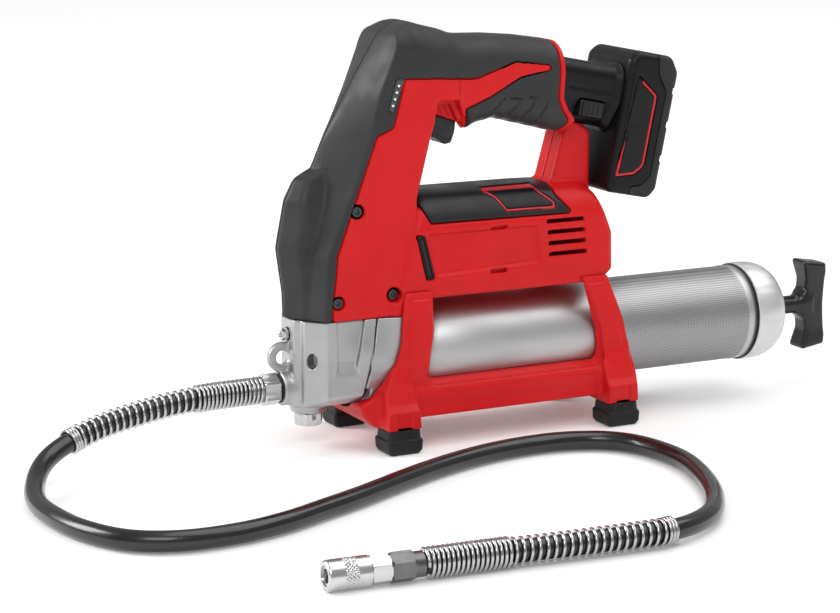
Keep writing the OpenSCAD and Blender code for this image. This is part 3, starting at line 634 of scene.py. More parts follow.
def make_hose():
    path = smooth_path(HOSE_ROUTE, ROUTE_SAMPLES)
    hose = make_piece("hose", tube(path, HOSE_RADIUS, 24), HOSE, "hose_rubber", ["hose_tube"])

    first, last = (n * ROUTE_SAMPLES for n in PUMP_GUARD_SPANS)
    start = [(-192.6, 0, OUTLET_Z), (-195.8, 0, OUTLET_Z)]
    pump_guard = make_guard("guard_pump_end", np.vstack([start, path[first:last + 1]]))
    first, last = (n * ROUTE_SAMPLES for n in COUPLER_GUARD_SPANS)
    end_guard = make_guard("guard_coupler_end", path[first:last + 1][::-1])

    # nut on the outlet boss: thread, washer face, hexagon, and the crimped collar under the guard
    nut = joined([
        turned([(-172.5, 0), (-172.5, 4.7), (-181, 4.7), (-181, 0)]),
        turned([(-181.9, 0), (-181.9, 7.2), (-182.5, 7.6), (-183.0, 9.6), (-191.4, 9.6),
                (-192.2, 8.0), (-192.2, 0)], across=NUT_ACROSS),
        turned([(-192.2, 0), (-192.2, 6.0), (-198.6, 6.0), (-199.4, 5.7), (-199.4, 0)])])
    nut = make_piece("hose_nut_piece", lifted(nut, (0, 0, OUTLET_Z)), STEEL, "bright_steel",
                     ["hose_nut"], crease=CREASE)

    washer = turned([(-181.05, 4.8), (-181.05, 8.2), (-181.8, 8.2), (-181.8, 4.8)], closed=True)
    washer = make_piece("outlet_washer", lifted(washer, (0, 0, OUTLET_Z)), SEAL, "black_rubber",
                        ["hose_nut"])

    # crimped fitting, and the coupler with its knurled band and jaws
    fitting = joined([
        turned([(-0.3, 0), (-0.3, 5.8), (-1, 6.3), (-6, 6.3), (-6, 0)]),
        turned([(-6.02, 0), (-6.02, 6.8), (-6.8, 8.4), (-17.2, 8.4), (-17.9, 6.9), (-17.9, 0)],
               across=FITTING_ACROSS)])
    fitting = make_piece("hose_fitting", moved(fitting, at_hose_end()), DARK_STEEL, "dark_steel",
                         ["hose_end_fitting"], crease=CREASE)

    def knurl(x, r, angle):
        """Diamonds cut into the middle of the coupler's sleeve."""
        if not COUPLER_KNURL[0] < x < COUPLER_KNURL[1] or r < 7:
            return r
        crossed = [max(0.0, math.cos(COUPLER_KNURL_COUNT * angle + turn * x))
                   for turn in (3.2, -3.2)]
        return r - 0.28 * crossed[0] - 0.28 * crossed[1]

    band = [(x, 7.6) for x in np.arange(-28.6, -49.3, -0.4)]
    bore = [(-50, 4.9), (-42.2, 4.9), (-42.2, 3.3), (-40.5, 2.0), (-30, 2.0), (-30, 0)]
    coupler = joined([
        turned([(-18.1, 0), (-18.1, 6.8), (-18.8, 7.7), (-27.2, 7.7), (-28, 7.2), (-28, 0)],
               across=FITTING_ACROSS),
        turned([(-28.02, 0), (-28.02, 6.9)] + band + [(-49.6, 7.3), (-50, 6.7)] + bore,
               176, shape=knurl)])
    # jaws: a split ring inside the mouth
    jaw = turned([(-49.4, 4.8), (-49.4, 3.6), (-47.5, 3.3), (-42.5, 3.4), (-42.5, 4.8)], closed=True)
    coupler = make_piece("coupler_piece", moved(joined([coupler, jaw]), at_hose_end()), STEEL,
                         "bright_steel", ["coupler"], crease=CREASE)

    float(along(path)[-1] * MM)


make_hose()

# ---- housing ----------------------------------------------------------------------------------
HEAD_TOP, BARREL_LOW = 75.3, 84.0       # underside of the column and of the barrel
CAVITY_LOW = 88.0
COLUMN_W, GRIP_W, STRUT_W, BARREL_W = 25.0, 21.6, 11.0, 27.6    # half widths
BARREL_TOP = 144.0
TUBE_Z = 50.0
SKIN = 1.8                              # rubber on the housing
SHELL = 3.4                             # wall of the housing
SEAM = 0.35                             # half of the gap along a joint line
COVER_SKIN, COVER_RECESS = 2.3, 2.4     # wall of the dark cover, and the room for it
PANEL_DEPTH, LABEL_DEPTH, CHEVRON_DEPTH = 1.9, 1.9, 1.3

COLUMN = [(-186, 70), (-106, 70), (-106, 141, 4), (-97, 176, 6), (-93, 188, 4),
          (-80, 190), (-80, 229.5, 10), (-97, 234.5, 12), (-108, 238.5, 10), (-119.5, 231.5, 12),
          (-126, 222, 14), (-141, 196, 30), (-164, 156.5, 4), (-171, 153, 4), (-177, 141, 12),
          (-182, 115, 25), (-178.5, 90, 12), (-178, 70)]
GRIP = [(-104, 190), (-95, 188), (-75, 180.5, 2), (-71, 175.5, 2), (-64, 179, 6), (-52, 181, 12),
        (-36, 177, 20), (-10, 170.3), (20, 163.5), (20, 219), (-15.5, 224, 4), (-32, 226.5, 40),
        (-51, 228.2, 40), (-70, 228.8, 30), (-104, 236)]
GRIP_END = [(-150, 150), (-12, 150), (-8, 170), (-3, 178, 2), (-8, 184, 4), (-11.2, 191, 8),
            (-10.4, 204, 14), (-10.4, 222), (-9, 262), (-150, 262)]
STRUT = [(-20, 131), (13.4, 131, 3), (13.4, 170, 5), (-1, 180, 1), (-3, 176), (-4.4, 171, 3),
         (-13.6, 138, 6)]
BARREL = [(-126, 70), (14, 70), (14, 84), (21, 90, 4), (20.5, 112, 9), (10.5, 137.5, 9),
          (0, 142, 6), (-30, 143.6, 10), (-103, 144.5)]
RUBBER_ZONE = [(-205, 60), (-158.5, 60), (-158.5, 84, 4), (-156, 104, 6), (-155.5, 112, 4),
               (-131, 177, 2), (-121, 181, 3), (-119, 188, 5), (-113.6, 207.7, 1), (-92, 207, 20),
               (-68, 205, 12), (-42, 213.5, 5), (-20.5, 210.6, 1.2), (-20, 207.8, 1.2),
               (-39, 204.6, 8), (-57.6, 195, 18), (-73.5, 188.6, 1), (-70.5, 178, 2), (-69, 165),
               (-15, 165), (-12, 171, 1), (-7.5, 178, 2), (-12, 184, 4), (-14.7, 191, 8),
               (-13.9, 204, 12), (-13.9, 222), (-12.5, 262), (-205, 262)]
COVER_ZONE = [(-98.5, 126, 1), (-103, 135, 12), (-112, 147), (-112, 150), (-5, 150), (-16, 140),
              (-16, 135.5, 5), (-7, 125.5, 1)]
LABEL_ZONE = [(-63, 141.5, 1), (-55, 136.5, 3), (-50, 129, 1.2), (-17.5, 128.6, 1.2),
              (-18, 132.5, 2), (-25, 138.5, 1), (-27, 141.5, 1)]
PANEL_ZONE = [(-102, 120.8, 1), (-31, 120.4, 2), (-28, 98, 2), (-95.5, 95.5, 1)]
SLOT_ZONE = [(-108, 120.5, 0.8), (-103, 119.5, 0.8), (-96.6, 95, 0.8), (-101.6, 94.6, 0.8)]
PANEL_NOTCHES = [((-60.5, 119.6), (-50, 121.8)), ((-61, 94.6), (-50, 96.8))]
GAUGE_ZONE = [(-124.4, 191.6, 0.6), (-121, 189.2, 0.6), (-113.8, 208.2, 0.4), (-119.4, 208.4, 0.4)]
GAUGE_LIGHTS = [(-121.2, 193.6), (-120, 197.2), (-118.8, 200.8), (-117.6, 204.4)]
FINGER_OUTER = [(-95.5, 184), (-93, 194.5, 1.5), (-79.5, 194.5, 2), (-70.8, 176.5, 1), (-76, 168),
                (-90, 172)]
FINGER_INNER = [(-94.5, 184), (-91, 191.6, 1.5), (-81, 191.6, 1.5), (-73.6, 176.5, 1), (-78, 168),
                (-90, 172)]
FINGER_FLOORS = 15.2, 11.6              # distance of the two steps' floors from Y = 0
CHEVRONS = [[(-49, 193.5), (-57, 184)], [(-45, 193), (-38.5, 192.5), (-47, 180)],
            [(-33, 193), (-28.5, 192), (-38, 178)], [(-21.5, 190), (-28.5, 176.5)]]
THROUGH_SCREWS = [(-143, 136), (-121, 87.5)]
TANG_SCREW = (-155, 85.5)
VENT_FRONT, VENT_LOW, VENT_PITCH, VENT_HEIGHT = -24.5, 101.2, 6.4, 2.5
VENT_LENGTH, VENT_SHIFT, VENT_COUNT = 25, 0.6, 4
# rooms inside the housing, each a box from low to high in XZ and its half width
TRIGGER_ROOMS = [((-96.5, 160), (-66, 187), 9.2), ((-93.5, 176), (-66, 196), 6.6)]
YOKE_ROOM = ((-167.5, CAVITY_LOW), (-134, 132), 11.8)
TANG_ROOM = ((-172, 60), (-148, 88.2), 14.2)

BATTERY_AT, BATTERY_TILT = (27, 188.3), math.radians(11.6)
STEM_OUTLINE = [(-11, -18.2, 8), (11, -18.2, 8), (19.4, -2, 8), (19.4, 18.2, 8), (-19.4, 18.2, 8),
                (-19.4, -2, 8)]

# the front facets run back from the centre line to a crease in front of the red side
FACET_LEVELS = [75, 100, 112, 132, 138, 147, 160, 177, 196, 221, 236]
FACET_CENTRE = [-176.5, -175.5, -174.5, -170, -165.5, -161.5, -160, -152.5, -142.7, -126, -117]
FACET_CREASE = [-163, -161.5, -160.5, -152, -149.5, -145.5, -140.5, -134.5, -130, -120.5, -116]
TONGUE_LEVELS = [75, 89, 115, 142, 153, 158]
TONGUE_FRONT = [-178.3, -178.8, -182.5, -177, -171, -163]


def column_field(b):
    reach = np.abs(b.y)
    centre = profile(b.z, FACET_LEVELS, FACET_CENTRE)
    crease = profile(b.z, FACET_LEVELS, FACET_CREASE)
    facet = (centre + (crease - centre) * (reach / 25) ** 1.15 - b.x) * 0.86
    # a raised tongue with steep sides stands on them, rounded over at its top
    prow = profile(b.z, TONGUE_LEVELS, TONGUE_FRONT)
    tongue_front = (prow + 0.7 * np.maximum(reach - 1.0, 0) - b.x) * 0.82
    tongue_side = reach - 14.2 + 5.7 * step(b.z, 126, 158)
    tongue = round_max(tongue_front, tongue_side, 2.5)
    tongue = round_max(tongue, (b.z - 160 - 0.25 * (b.x + 160)) * 0.97, 7.0)
    tongue = np.maximum(tongue, b.x + 150)
    front = smooth_min(facet, tongue, 2.0)
    outline = b.outline(COLUMN)
    radius = 2.2 + 12 * step(b.z, 198, 230) * step(b.x, -126, -108)
    body = round_max(outline, reach - COLUMN_W, radius)
    return round_max(body, front, 1.0)


def grip_field(b):
    reach = np.abs(b.y)
    outline = b.outline(GRIP)
    scallops = 0.55 * (0.5 + 0.5 * np.cos(2 * math.pi * (b.x + 34) / 9.5))
    outline = outline + scallops * step(b.x, -64, -56) * (1 - step(b.z, 181, 188))
    swell = 1.4 * step(b.x, -36, -18)
    radius = 13.0 + 3.5 * step(b.z, 192, 214)
    body = round_max(outline, reach - GRIP_W - swell, radius)
    return round_max(body, b.outline(GRIP_END), 1.2)


def barrel_field(b):
    section = round_max(np.abs(b.y) - BARREL_W, b.z - BARREL_TOP, 24.0)
    return round_max(section, b.outline(BARREL), 5.0)


def housing_form(b):
    """Outer shape of the housing, both materials together."""
    strut = round_max(b.outline(STRUT), np.abs(b.y) - STRUT_W, 2.2)
    upper = smooth_min(column_field(b), grip_field(b), 6.0)
    lower = smooth_min(barrel_field(b), strut, 3.5)
    return smooth_min(upper, lower, 1.6)


def cover_zone(b):
    """Where the cover lies: its outline, less the column and the strut with a small gap."""
    column = round_max(b.outline(COLUMN), np.abs(b.y) - COLUMN_W, 2.2) - 0.4
    strut = round_max(b.outline(STRUT), np.abs(b.y) - STRUT_W, 2.2) - 0.5
    return cut(cut(b.outline(COVER_ZONE), column), strut)


def stem_clearance(b, gap):
    """The space of the battery's stem, larger by a gap all round."""
    cos, sin = math.cos(BATTERY_TILT), math.sin(BATTERY_TILT)
    dx, dz = b.x - BATTERY_AT[0], b.z - BATTERY_AT[1]
    local_x = dx * cos - dz * sin
    local_z = dx * sin + dz * cos
    section = outline_distance(np.broadcast_to(b.y, b.counts), np.broadcast_to(local_z, b.counts),
                               STEM_OUTLINE)
    return np.maximum(section - gap, -80.5 - local_x)


class Housing:
    """Fields that the left half of the housing, its rubber and its cover share."""

    def __init__(self):
        b = Block((-184, -30, 73), (24, 1, 240), 0.8)
        self.block = b
        reach = -b.y
        form = housing_form(b)
        # recessed panel with bevelled ends, and its two dark notches
        panel = step(-b.outline(PANEL_ZONE), -0.3, 1.7)
        form = form + PANEL_DEPTH * panel * step(reach, 22, 25)
        for low, high in PANEL_NOTCHES:
            form = cut(form, np.maximum(box_distance(b.x, b.z, low, high), 23.8 - reach))
        # finger rest over the trigger: a stepped recess with slanting ribs
        outer = np.maximum(b.outline(FINGER_OUTER), FINGER_FLOORS[0] - reach)
        ribs = 0.7 * np.abs(np.sin(math.pi * (b.x + 0.55 * b.z) / 3.4))
        inner = np.maximum(b.outline(FINGER_INNER), FINGER_FLOORS[1] - ribs - reach)
        form = cut(cut(form, outer), inner)
        # grooves pressed into the palm of the grip
        for points in CHEVRONS:
            groove = np.maximum(b.stroke(points) - 0.65, 15 - reach)
            form = cut(form, np.maximum(groove, -(form + CHEVRON_DEPTH)))
        for low, high, half in TRIGGER_ROOMS:
            form = cut(form, bar(b, low, high, half))
        self.underside = np.where(b.x < -109, HEAD_TOP, BARREL_LOW).astype(np.float32)
        form = round_max(form, self.underside - b.z, 0.8)
        self.form = form
        self.rubber = b.outline(RUBBER_ZONE)
        self.cover = cover_zone(b)
        self.stem = stem_clearance(b, 0.5)
        self.split = b.y + 0.12
        self.reach = reach

    def counterbore(self, place, radius):
        b = self.block
        middle = np.hypot(b.x - place[0], b.z - place[1]) - radius
        return np.maximum(middle, COLUMN_W - 3.2 - self.reach)

    def shell(self, has_gauge):
        """One red half. The left one has the gauge window and the screws' heads."""
        b = self.block
        field = np.maximum(self.form, -np.maximum(self.form + SHELL, CAVITY_LOW - b.z))
        # rubber zone: cut down by the skin, and a fine groove along its edge
        sunk = np.maximum(self.rubber - SEAM, -(self.form + SKIN))
        field = cut(field, sunk)
        field = cut(field, np.maximum(self.cover - SEAM, -(self.form + COVER_RECESS)))
        field = cut(field, self.stem)
        field = cut(field, np.maximum(b.outline(SLOT_ZONE) - 0.2, BARREL_W - 2.6 - self.reach))
        for k in range(VENT_COUNT):
            low = (VENT_FRONT + VENT_SHIFT * k, VENT_LOW + VENT_PITCH * (VENT_COUNT - 1 - k))
            slot = box_distance(b.x, b.z, low, (low[0] + VENT_LENGTH, low[1] + VENT_HEIGHT))
            field = cut(field, np.maximum(slot, BARREL_W - 7 - self.reach))
        if has_gauge:
            field = cut(field, np.maximum(b.outline(GAUGE_ZONE), COLUMN_W - 1.4 - self.reach))
            for place in THROUGH_SCREWS:
                field = cut(field, self.counterbore(place, 4.2), 0.8)
        field = cut(field, self.counterbore(TANG_SCREW, 4.0), 0.8)
        for low, high, half in (YOKE_ROOM, TANG_ROOM):
            field = cut(field, bar(b, low, high, half))
        field = cut(field, np.hypot(b.y, b.z - TUBE_Z) - 29.5)
        field = np.maximum(field, self.split)
        return b.mesh(round_max(field, self.split, 0.5))

    def skin(self, has_gauge):
        """The rubber on one half."""
        b = self.block
        zone = self.rubber + SEAM
        field = round_max(self.form, zone, 0.7)
        field = np.maximum(field, -(self.form + SKIN - 0.05))
        field = cut(field, self.stem)
        if has_gauge:
            field = cut(field, b.outline(GAUGE_ZONE))
        return b.mesh(round_max(field, self.split, 0.45))


def make_cover():
    """Dark cover over the barrel, whole across the middle, with the blank label let into it."""
    b = Block((-116, -29, 120), (0, 29, 147), 0.8)
    form = barrel_field(b)
    cover = round_max(form - 0.2, cover_zone(b) + SEAM, 0.6)
    cover = np.maximum(cover, -(form + COVER_SKIN))
    cover = cut(cover, common(b.outline(LABEL_ZONE), b.y + 5, -(form + LABEL_DEPTH)))
    make_piece("motor_cover_piece", b.mesh(cover), COVER, "dark_plastic", ["motor_cover"])

    b = Block((-66, -29, 124), (-12, -3, 146), 0.5)
    form = barrel_field(b)
    zone = b.outline(LABEL_ZONE)
    plate = np.maximum(form + 0.15, -(form + 1.85))
    border = common(plate, zone + 0.1, -(zone + 1.5))
    middle = np.maximum(plate, zone + 1.52)
    make_piece("label_border", b.mesh(border), LABEL_RED, "red_plastic", ["label_plate"])
    make_piece("label_middle", b.mesh(middle), LABEL, "dark_plastic", ["label_plate"])


def make_gauge():
    b = Block((-126, -25.2, 187), (-112, -23.2, 210), 0.3)
    zone = b.outline(GAUGE_ZONE) + 0.05
    lens = round_max(zone, -24.7 - b.y, 0.4)
    lens = np.maximum(lens, b.y + 23.7)
    lights = None
    for x, z in GAUGE_LIGHTS:
        spot = np.hypot(b.x - x, b.z - z) - 0.85
        lights = spot if lights is None else np.minimum(lights, spot)
    make_piece("gauge_window", b.mesh(cut(lens, lights)), LENS, "clear_lens", ["gauge_lens"])
    dots = round_max(lights + 0.05, -24.85 - b.y, 0.4)
    make_piece("gauge_lights", b.mesh(np.maximum(dots, b.y + 23.8)), LED, "led_white",
               ["gauge_leds"])


def make_slot_inserts():
    b = Block((-110, -28, 92), (-94, -24.6, 123), 0.4)
    zone = b.outline(SLOT_ZONE)
    edge = np.maximum(round_max(zone + 0.05, -27.9 - b.y, 0.4), b.y + 25.1)
    edge = cut(edge, np.maximum(zone + 1.1, b.y + 26.9))
    tab = np.maximum(round_max(zone + 1.25, -27.7 - b.y, 0.5), b.y + 26.0)
    for name, field, material in (("slot_frames", edge, BLACK), ("slot_tabs", tab, COVER)):
        left = b.mesh(field)
        make_piece(name, joined([left, mirrored(left)]), material, "dark_plastic", ["slot_inserts"])


def screw_part():
    """A pan-head screw with a six-lobed recess, its head's top at y = 0 and its shank in +Y."""
    b = Block((-3.4, -0.2, -3.4), (3.4, 3.2, 3.4), 0.22)
    radius = np.hypot(b.x, b.z)
    angle = np.arctan2(b.z, b.x)
    head = round_max(radius - 3.1, -b.y, 0.6)
    head = np.maximum(head, b.y - 2.0)
    star = radius - (1.35 + 0.3 * np.cos(6 * angle))
    head = cut(head, np.maximum(star, b.y - 1.3))
    shank = common(radius - 1.5, 1.0 - b.y, b.y - 3.1)
    return b.mesh(np.minimum(head, shank))


def make_screws():
    screw = screw_part()
    parts = [lifted(screw, (x, -COLUMN_W + 1.2, z)) for x, z in THROUGH_SCREWS]
    tang = lifted(screw, (TANG_SCREW[0], -COLUMN_W + 1.2, TANG_SCREW[1]))
    # the screw heads are real dark steel, darkened further with painted shade for their recesses
    make_piece("screw_heads", joined(parts + [tang, mirrored(tang)]), DARK_STEEL_AND_SHADE, "dark_steel",
               ["housing_screws"])


def make_housing():
    housing = Housing()
    make_piece("housing_left_shell", housing.shell(True), RED, "red_plastic", ["housing_left"])
    make_piece("housing_right_shell", mirrored(housing.shell(False)), RED, "red_plastic",
               ["housing_right"])
    make_piece("rubber_left", housing.skin(True), RUBBER, "grey_rubber", ["overmould_left"])
    make_piece("rubber_right", mirrored(housing.skin(False)), RUBBER, "grey_rubber",
               ["overmould_right"])
    make_cover()
    make_gauge()
    make_slot_inserts()
    make_screws()


make_housing()

# ---- cradle and feet --------------------------------------------------------------------------
TUBE_R = 28.5
HEAD_LOW = 25.0                         # underside of the pump head
HEAD_SLOPE = 0.42                       # and its rise towards the sides
COLLAR_END = -108.0
COLLAR = [(-29.6, 46, 50), (-28, 81), (28, 81), (29.6, 46, 50), (26.5, 30, 8), (10, 19.8, 12),
          (-10, 19.8, 12), (-26.5, 30, 8)]
FOOT_X = (-123.5, 18.5)
CRADLE_LOW, SILL_LOW = 14.0, 18.2       # underside over the feet, and between them
FOOT_OUT, FOOT_IN = 46.0, 25.0
CRADLE = [(-136, 14, 2), (31, 14, 2), (34, 22, 3), (30.5, 42, 16), (26, 62, 30), (15.5, 89, 2),
          (-117.5, 90, 2), (-119, 78, 20), (-120.5, 60, 18), (-125, 47, 12), (-131, 37, 6),
          (-138, 30, 4), (-144, 27, 2), (-142, 20, 3)]
WINDOW = [(-101.4, 38, 3), (8, 38, 3), (6.5, 56, 20), (2, 72, 16), (-4, 92, 3), (-98.5, 92, 2),
          (-97.5, 66, 30)]


def collar_distance(b):
    """Distance from the collar's section, which runs along X behind the pump head."""
    return outline_distance(b.y, b.z, COLLAR)


def cradle_part():
    b = Block((-146, -46, 12), (36, 1, 92), 0.75)
    reach = -b.y
    width = profile(b.z, [12, 20, 23, 32, 36, 52, 90], [36.5, 36.5, 35.5, 35.2, 33.2, 33.4, 31.0])
    width = width - 6.0 * step(-b.x, 121, 144)
    outline = b.outline(CRADLE)
    body = round_max(outline, reach - width, 2.0)
    # a lower step round the front and rear bands
    rim = step(outline, -6.5, -5.0) * step(b.z, 36, 42)
    body = body + 1.1 * rim * step(reach, 24, 27)
    for x in FOOT_X:
        leg_out = profile(b.z, [12, 24, 28, 46], [44.3, 44.3, 41, 32])
        leg = round_max(np.abs(b.x - x) - 10.4 + 0.05 * (b.z - 14), reach - leg_out, 1.2)
        leg = common(leg, outline, 14 - b.z, b.z - 46)
        body = smooth_min(body, leg, 3.5)
        pad = np.maximum(np.abs(b.x - x) - 4.6, np.abs(b.z - 17) - 6.5)
        body = body + 1.0 * step(-pad, -0.3, 0.6) * step(reach, 36, 38)
    flare = 3.2 * step(reach, 27.5, 33.5)
    body = cut(body, b.outline(WINDOW) - flare)
    # room for the tube, the collar and the head, and the hollow of the base
    body = cut(body, np.hypot(b.y, b.z - TUBE_Z) - TUBE_R - 0.25)
    body = cut(body, common(collar_distance(b) - 0.3, b.x - COLLAR_END - 0.2, -137.0 - b.x))
    head_low = HEAD_LOW - 0.5 + HEAD_SLOPE * np.maximum(reach - 12, 0)
    body = cut(body, common(head_low - b.z, reach - 26, b.x + 130))
    body = cut(body, common(reach - 28.7, 50 - b.z, b.z - 90))
    body = cut(body, common(reach - 21, b.z - 29, -111 - b.x, b.x - 2))
    between = np.maximum(FOOT_X[0] + 11.0 - b.x, b.x - FOOT_X[1] + 11.0)
    body = np.maximum(body, np.where(between < 0, SILL_LOW, CRADLE_LOW) - b.z)
    return b.mesh(round_max(body, b.y + 0.12, 0.5))


def foot_part():
    """A rubber foot about the origin, outside towards -Y, with a ribbed collar and a tread."""
    b = Block((-12, -FOOT_OUT - 0.5, 0), (12, -FOOT_IN + 0.5, 17), 0.5)
    reach = -b.y
    middle = (FOOT_OUT + FOOT_IN) / 2
    half = (FOOT_OUT - FOOT_IN) / 2
    across = np.abs(reach - middle)
    levels = [0, 2.5, 8, 9, 14]
    half_length = profile(b.z, levels, [9.6, 11, 11.4, 10.4, 10.0])
    half_width = profile(b.z, levels, [half - 1.5, half, half, half - 1.0, half - 1.3])
    plan = round_max(np.abs(b.x) - half_length, across - half_width, 2.5)
    ribs = 0.7 * step(np.cos(2 * math.pi * b.x / 6.4), -0.2, 0.4) * step(b.z, 8.8, 9.4)
    field = round_max(plan + 0.5 - ribs, b.z - 14.0, 0.6)
    field = round_max(field, -b.z, 0.8)
    tread = np.abs(np.mod(b.x + 2, 4) - 2) - 0.6
    field = cut(field, common(tread, b.z - 0.9, across - half + 2.5))
    return b.mesh(field)


def make_cradle():
    left = cradle_part()
    make_piece("cradle_left_piece", left, RED, "red_plastic", ["cradle_left"])
    make_piece("cradle_right_piece", mirrored(left), RED, "red_plastic", ["cradle_right"])
    foot = foot_part()
    for end, x in zip(("front", "rear"), FOOT_X):
        left = lifted(foot, (x, 0, 0))
        for side, part in (("left", left), ("right", mirrored(left))):
            node = f"foot_{end}_{side}"
            make_piece(f"{node}_piece", part, FOOT, "black_rubber", [node])


make_cradle()

# ---- pump head --------------------------------------------------------------------------------
HEAD_PLAN = [(-175.5, -8.5, 1.5), (-172, -11.5, 2), (-172.5, -15.5, 2), (-162, -25, 1.2),
             (-120, -25), (-120, 25), (-162, 25, 1.2), (-172.5, 15.5, 2), (-172, 11.5, 2),
             (-175.5, 8.5, 1.5)]
EAR_AT = (-179, 53)
PORT_AT, PORT_ANGLE = (-169.4, -19), math.radians(42)
SIDE_POCKET = [(-156, 84, 1), (-156, 49, 0.6), (-157.5, 43.5, 0.6), (-143.5, 43, 0.6),
               (-145.5, 49, 0.6), (-137, 84, 1)]
BLEEDER_Z = 66.0
PLUG_X = -163.0


def groove_x(b):
    """Where the groove between the head and the collar runs, leaning back towards its top."""
    return -132.0 - 0.23 * (75 - b.z)


def make_pump_head():
    b = Block((-189, -31, 20), (-128, 31, 89), 0.6)
    reach = np.abs(b.y)
    # the sides flare backwards below the housing, to meet the collar round the tube
    flare = 0.168 * np.maximum(b.x + 160, 0) * (1 - step(b.z, 54, 76))
    plan = outline_distance(b.x, b.y, HEAD_PLAN) - flare
    head = round_max(plan, b.z - HEAD_TOP + 0.2, 0.5)
    slope = (HEAD_LOW + HEAD_SLOPE * np.maximum(reach - 12, 0) - b.z) * 0.92
    head = round_max(head, slope, 2.5)
    tang = bar(b, (-163.5, 70), (-148, 87.6), 12)
    head = np.minimum(head, round_max(tang, b.z - 88, 0.5))
    # a pocket in each side, and a groove where the collar starts
    head = cut(head, np.maximum(outline_distance(b.x, b.z, SIDE_POCKET),
                                22.6 + 0.34 * np.maximum(52 - b.z, 0) + flare - reach), 0.4)
    groove = (b.x - groove_x(b)) * 0.97
    head = round_max(head, groove - 0.2, 0.5)
    tube_room = np.hypot(b.y, b.z - TUBE_Z) - TUBE_R - 0.1
    head = cut(head, np.maximum(tube_room, -137.2 - b.x))
    # bosses: outlet in front, plug below
    outlet = np.hypot(b.y, b.z - OUTLET_Z)
    boss = round_max(outlet - 10.0, -181.0 - b.x, 1.0)
    head = smooth_min(head, np.maximum(boss, b.x + 160), 3.0)
    plug = np.hypot(b.x - PLUG_X, b.y)
    head = smooth_min(head, common(plug - 10.2, 20.6 - b.z, b.z - 40), 2.0)
    # strap ear
    ear_x, ear_z = b.x - EAR_AT[0], b.z - EAR_AT[1]
    disc = np.hypot(ear_x, ear_z) - 8.6
    web = box_distance(b.x, b.z, (EAR_AT[0] + 1.0, 42), (-170, 64))
    web = smooth_max(web, (b.z - 57 - 0.62 * (b.x - EAR_AT[0])) * 0.85, 1.0)
    ear = round_max(smooth_min(disc, web, 3.0), reach - 2.0, 0.6)
    head = smooth_min(head, ear, 1.2)
    head = cut(head, np.hypot(ear_x, ear_z) - 4.0, 0.6)
    # loader port on the corner face, outlet bore, bleeder hole, plug bore, piston bore
    dx, dy = b.x - PORT_AT[0], b.y - PORT_AT[1]
    depth = dx * math.cos(PORT_ANGLE) + dy * math.sin(PORT_ANGLE)
    offset = -dx * math.sin(PORT_ANGLE) + dy * math.cos(PORT_ANGLE)
    port = np.maximum(np.hypot(1.5 * offset, b.z - 53) - 4.4, depth - 9)
    head = cut(head, port, 0.5)
    head = cut(head, np.maximum(outlet - 4.9, b.x + 163))
    head = cut(head, np.maximum(np.hypot(b.y, b.z - BLEEDER_Z) - 3.8, b.x + 167.5))
    head = cut(head, np.maximum(plug - 7.0, b.z - 28))
    head = cut(head, np.hypot(b.x + 160, b.y) - 4.1 + 100 * (b.z < 42))
    make_piece("pump_head_casting", b.mesh(head), CAST, "cast_metal", ["pump_head"])


def upright(part, x, z_top):
    """A part turned about X stood on end, its x = 0 at z_top and its +X downwards."""
    points, faces = part
    points = np.asarray(points)
    return np.stack([x + points[:, 2], points[:, 1], z_top - points[:, 0]], 1), faces


def make_head_fittings():
    plug = joined([
        turned([(-8, 0), (-8, 6.9), (0, 6.9), (0, 0)]),
        turned([(0.02, 0), (0.02, 7.3), (0.6, 9.2), (6.4, 9.2), (7.4, 7.4), (7.4, 0)], across=15.0)])
    make_piece("head_plug_piece", upright(plug, PLUG_X, 20.4), STEEL, "bright_steel", ["head_plug"],
               crease=CREASE)
    bleeder = joined([
        turned([(-171, 0), (-171, 1.9), (-175.2, 1.9), (-175.2, 0)]),
        turned([(-175.22, 0), (-175.22, 2.9), (-175.8, 3.6), (-179, 3.6), (-179.5, 2.8),
                (-179.5, 0)], across=6.0),
        turned([(-179.52, 0), (-179.52, 1.6), (-180.6, 1.6), (-181, 1.2), (-181, 0)])])
    make_piece("bleeder_piece", lifted(bleeder, (0, 0, BLEEDER_Z)), STEEL, "bright_steel",
               ["bleeder_valve"], "bleeder", CREASE)


def cropped_collar():
    """The smooth collar behind the head, swelling backwards from the groove."""
    b = Block((-147, -32, 18), (COLLAR_END, 32, 79), 0.6)
    behind = b.x - groove_x(b)
    swell = (0.4 + 2.7 * step(b.z, 54, 76)) * (1 - step(behind, 0, 15))
    field = round_max(collar_distance(b) + swell, b.x - COLLAR_END, 0.8)
    field = round_max(field, 0.9 - behind, 0.4)
    field = cut(field, np.hypot(b.y, b.z - TUBE_Z) - TUBE_R - 0.1)
    field = np.maximum(field, -146 - b.x)
    field = np.maximum(field, np.minimum(36.0 - b.z, -137.0 - b.x))
    return b.mesh(np.maximum(field, b.z - HEAD_TOP + 0.2))


make_pump_head()
make_head_fittings()
make_piece("tube_collar_piece", cropped_collar(), CAST, "cast_metal", ["tube_collar"])

# ---- grease tube, cap and plunger -------------------------------------------------------------
TUBE_ENDS = (-136.9, 122.0)
BORE_R = 27.3
KNURL = (18.0, 115.0)
KNURL_COUNT = 84                        # diamonds round the tube
KNURL_PITCH = 2.1
FOLLOWER_PITCH, FOLLOWER_RADIUS, FOLLOWER_WIRE = 20.4, 19.9, 1.05


def knurled(x, radius, angle):
    if radius < TUBE_R - 0.5 or not KNURL[0] < x < KNURL[1]:
        return radius
    phase = KNURL_COUNT * angle
    shift = 2 * math.pi * x / KNURL_PITCH
    return radius - 0.2 * (2 - abs(math.sin((phase + shift) / 2)) - abs(math.sin((phase - shift) / 2)))


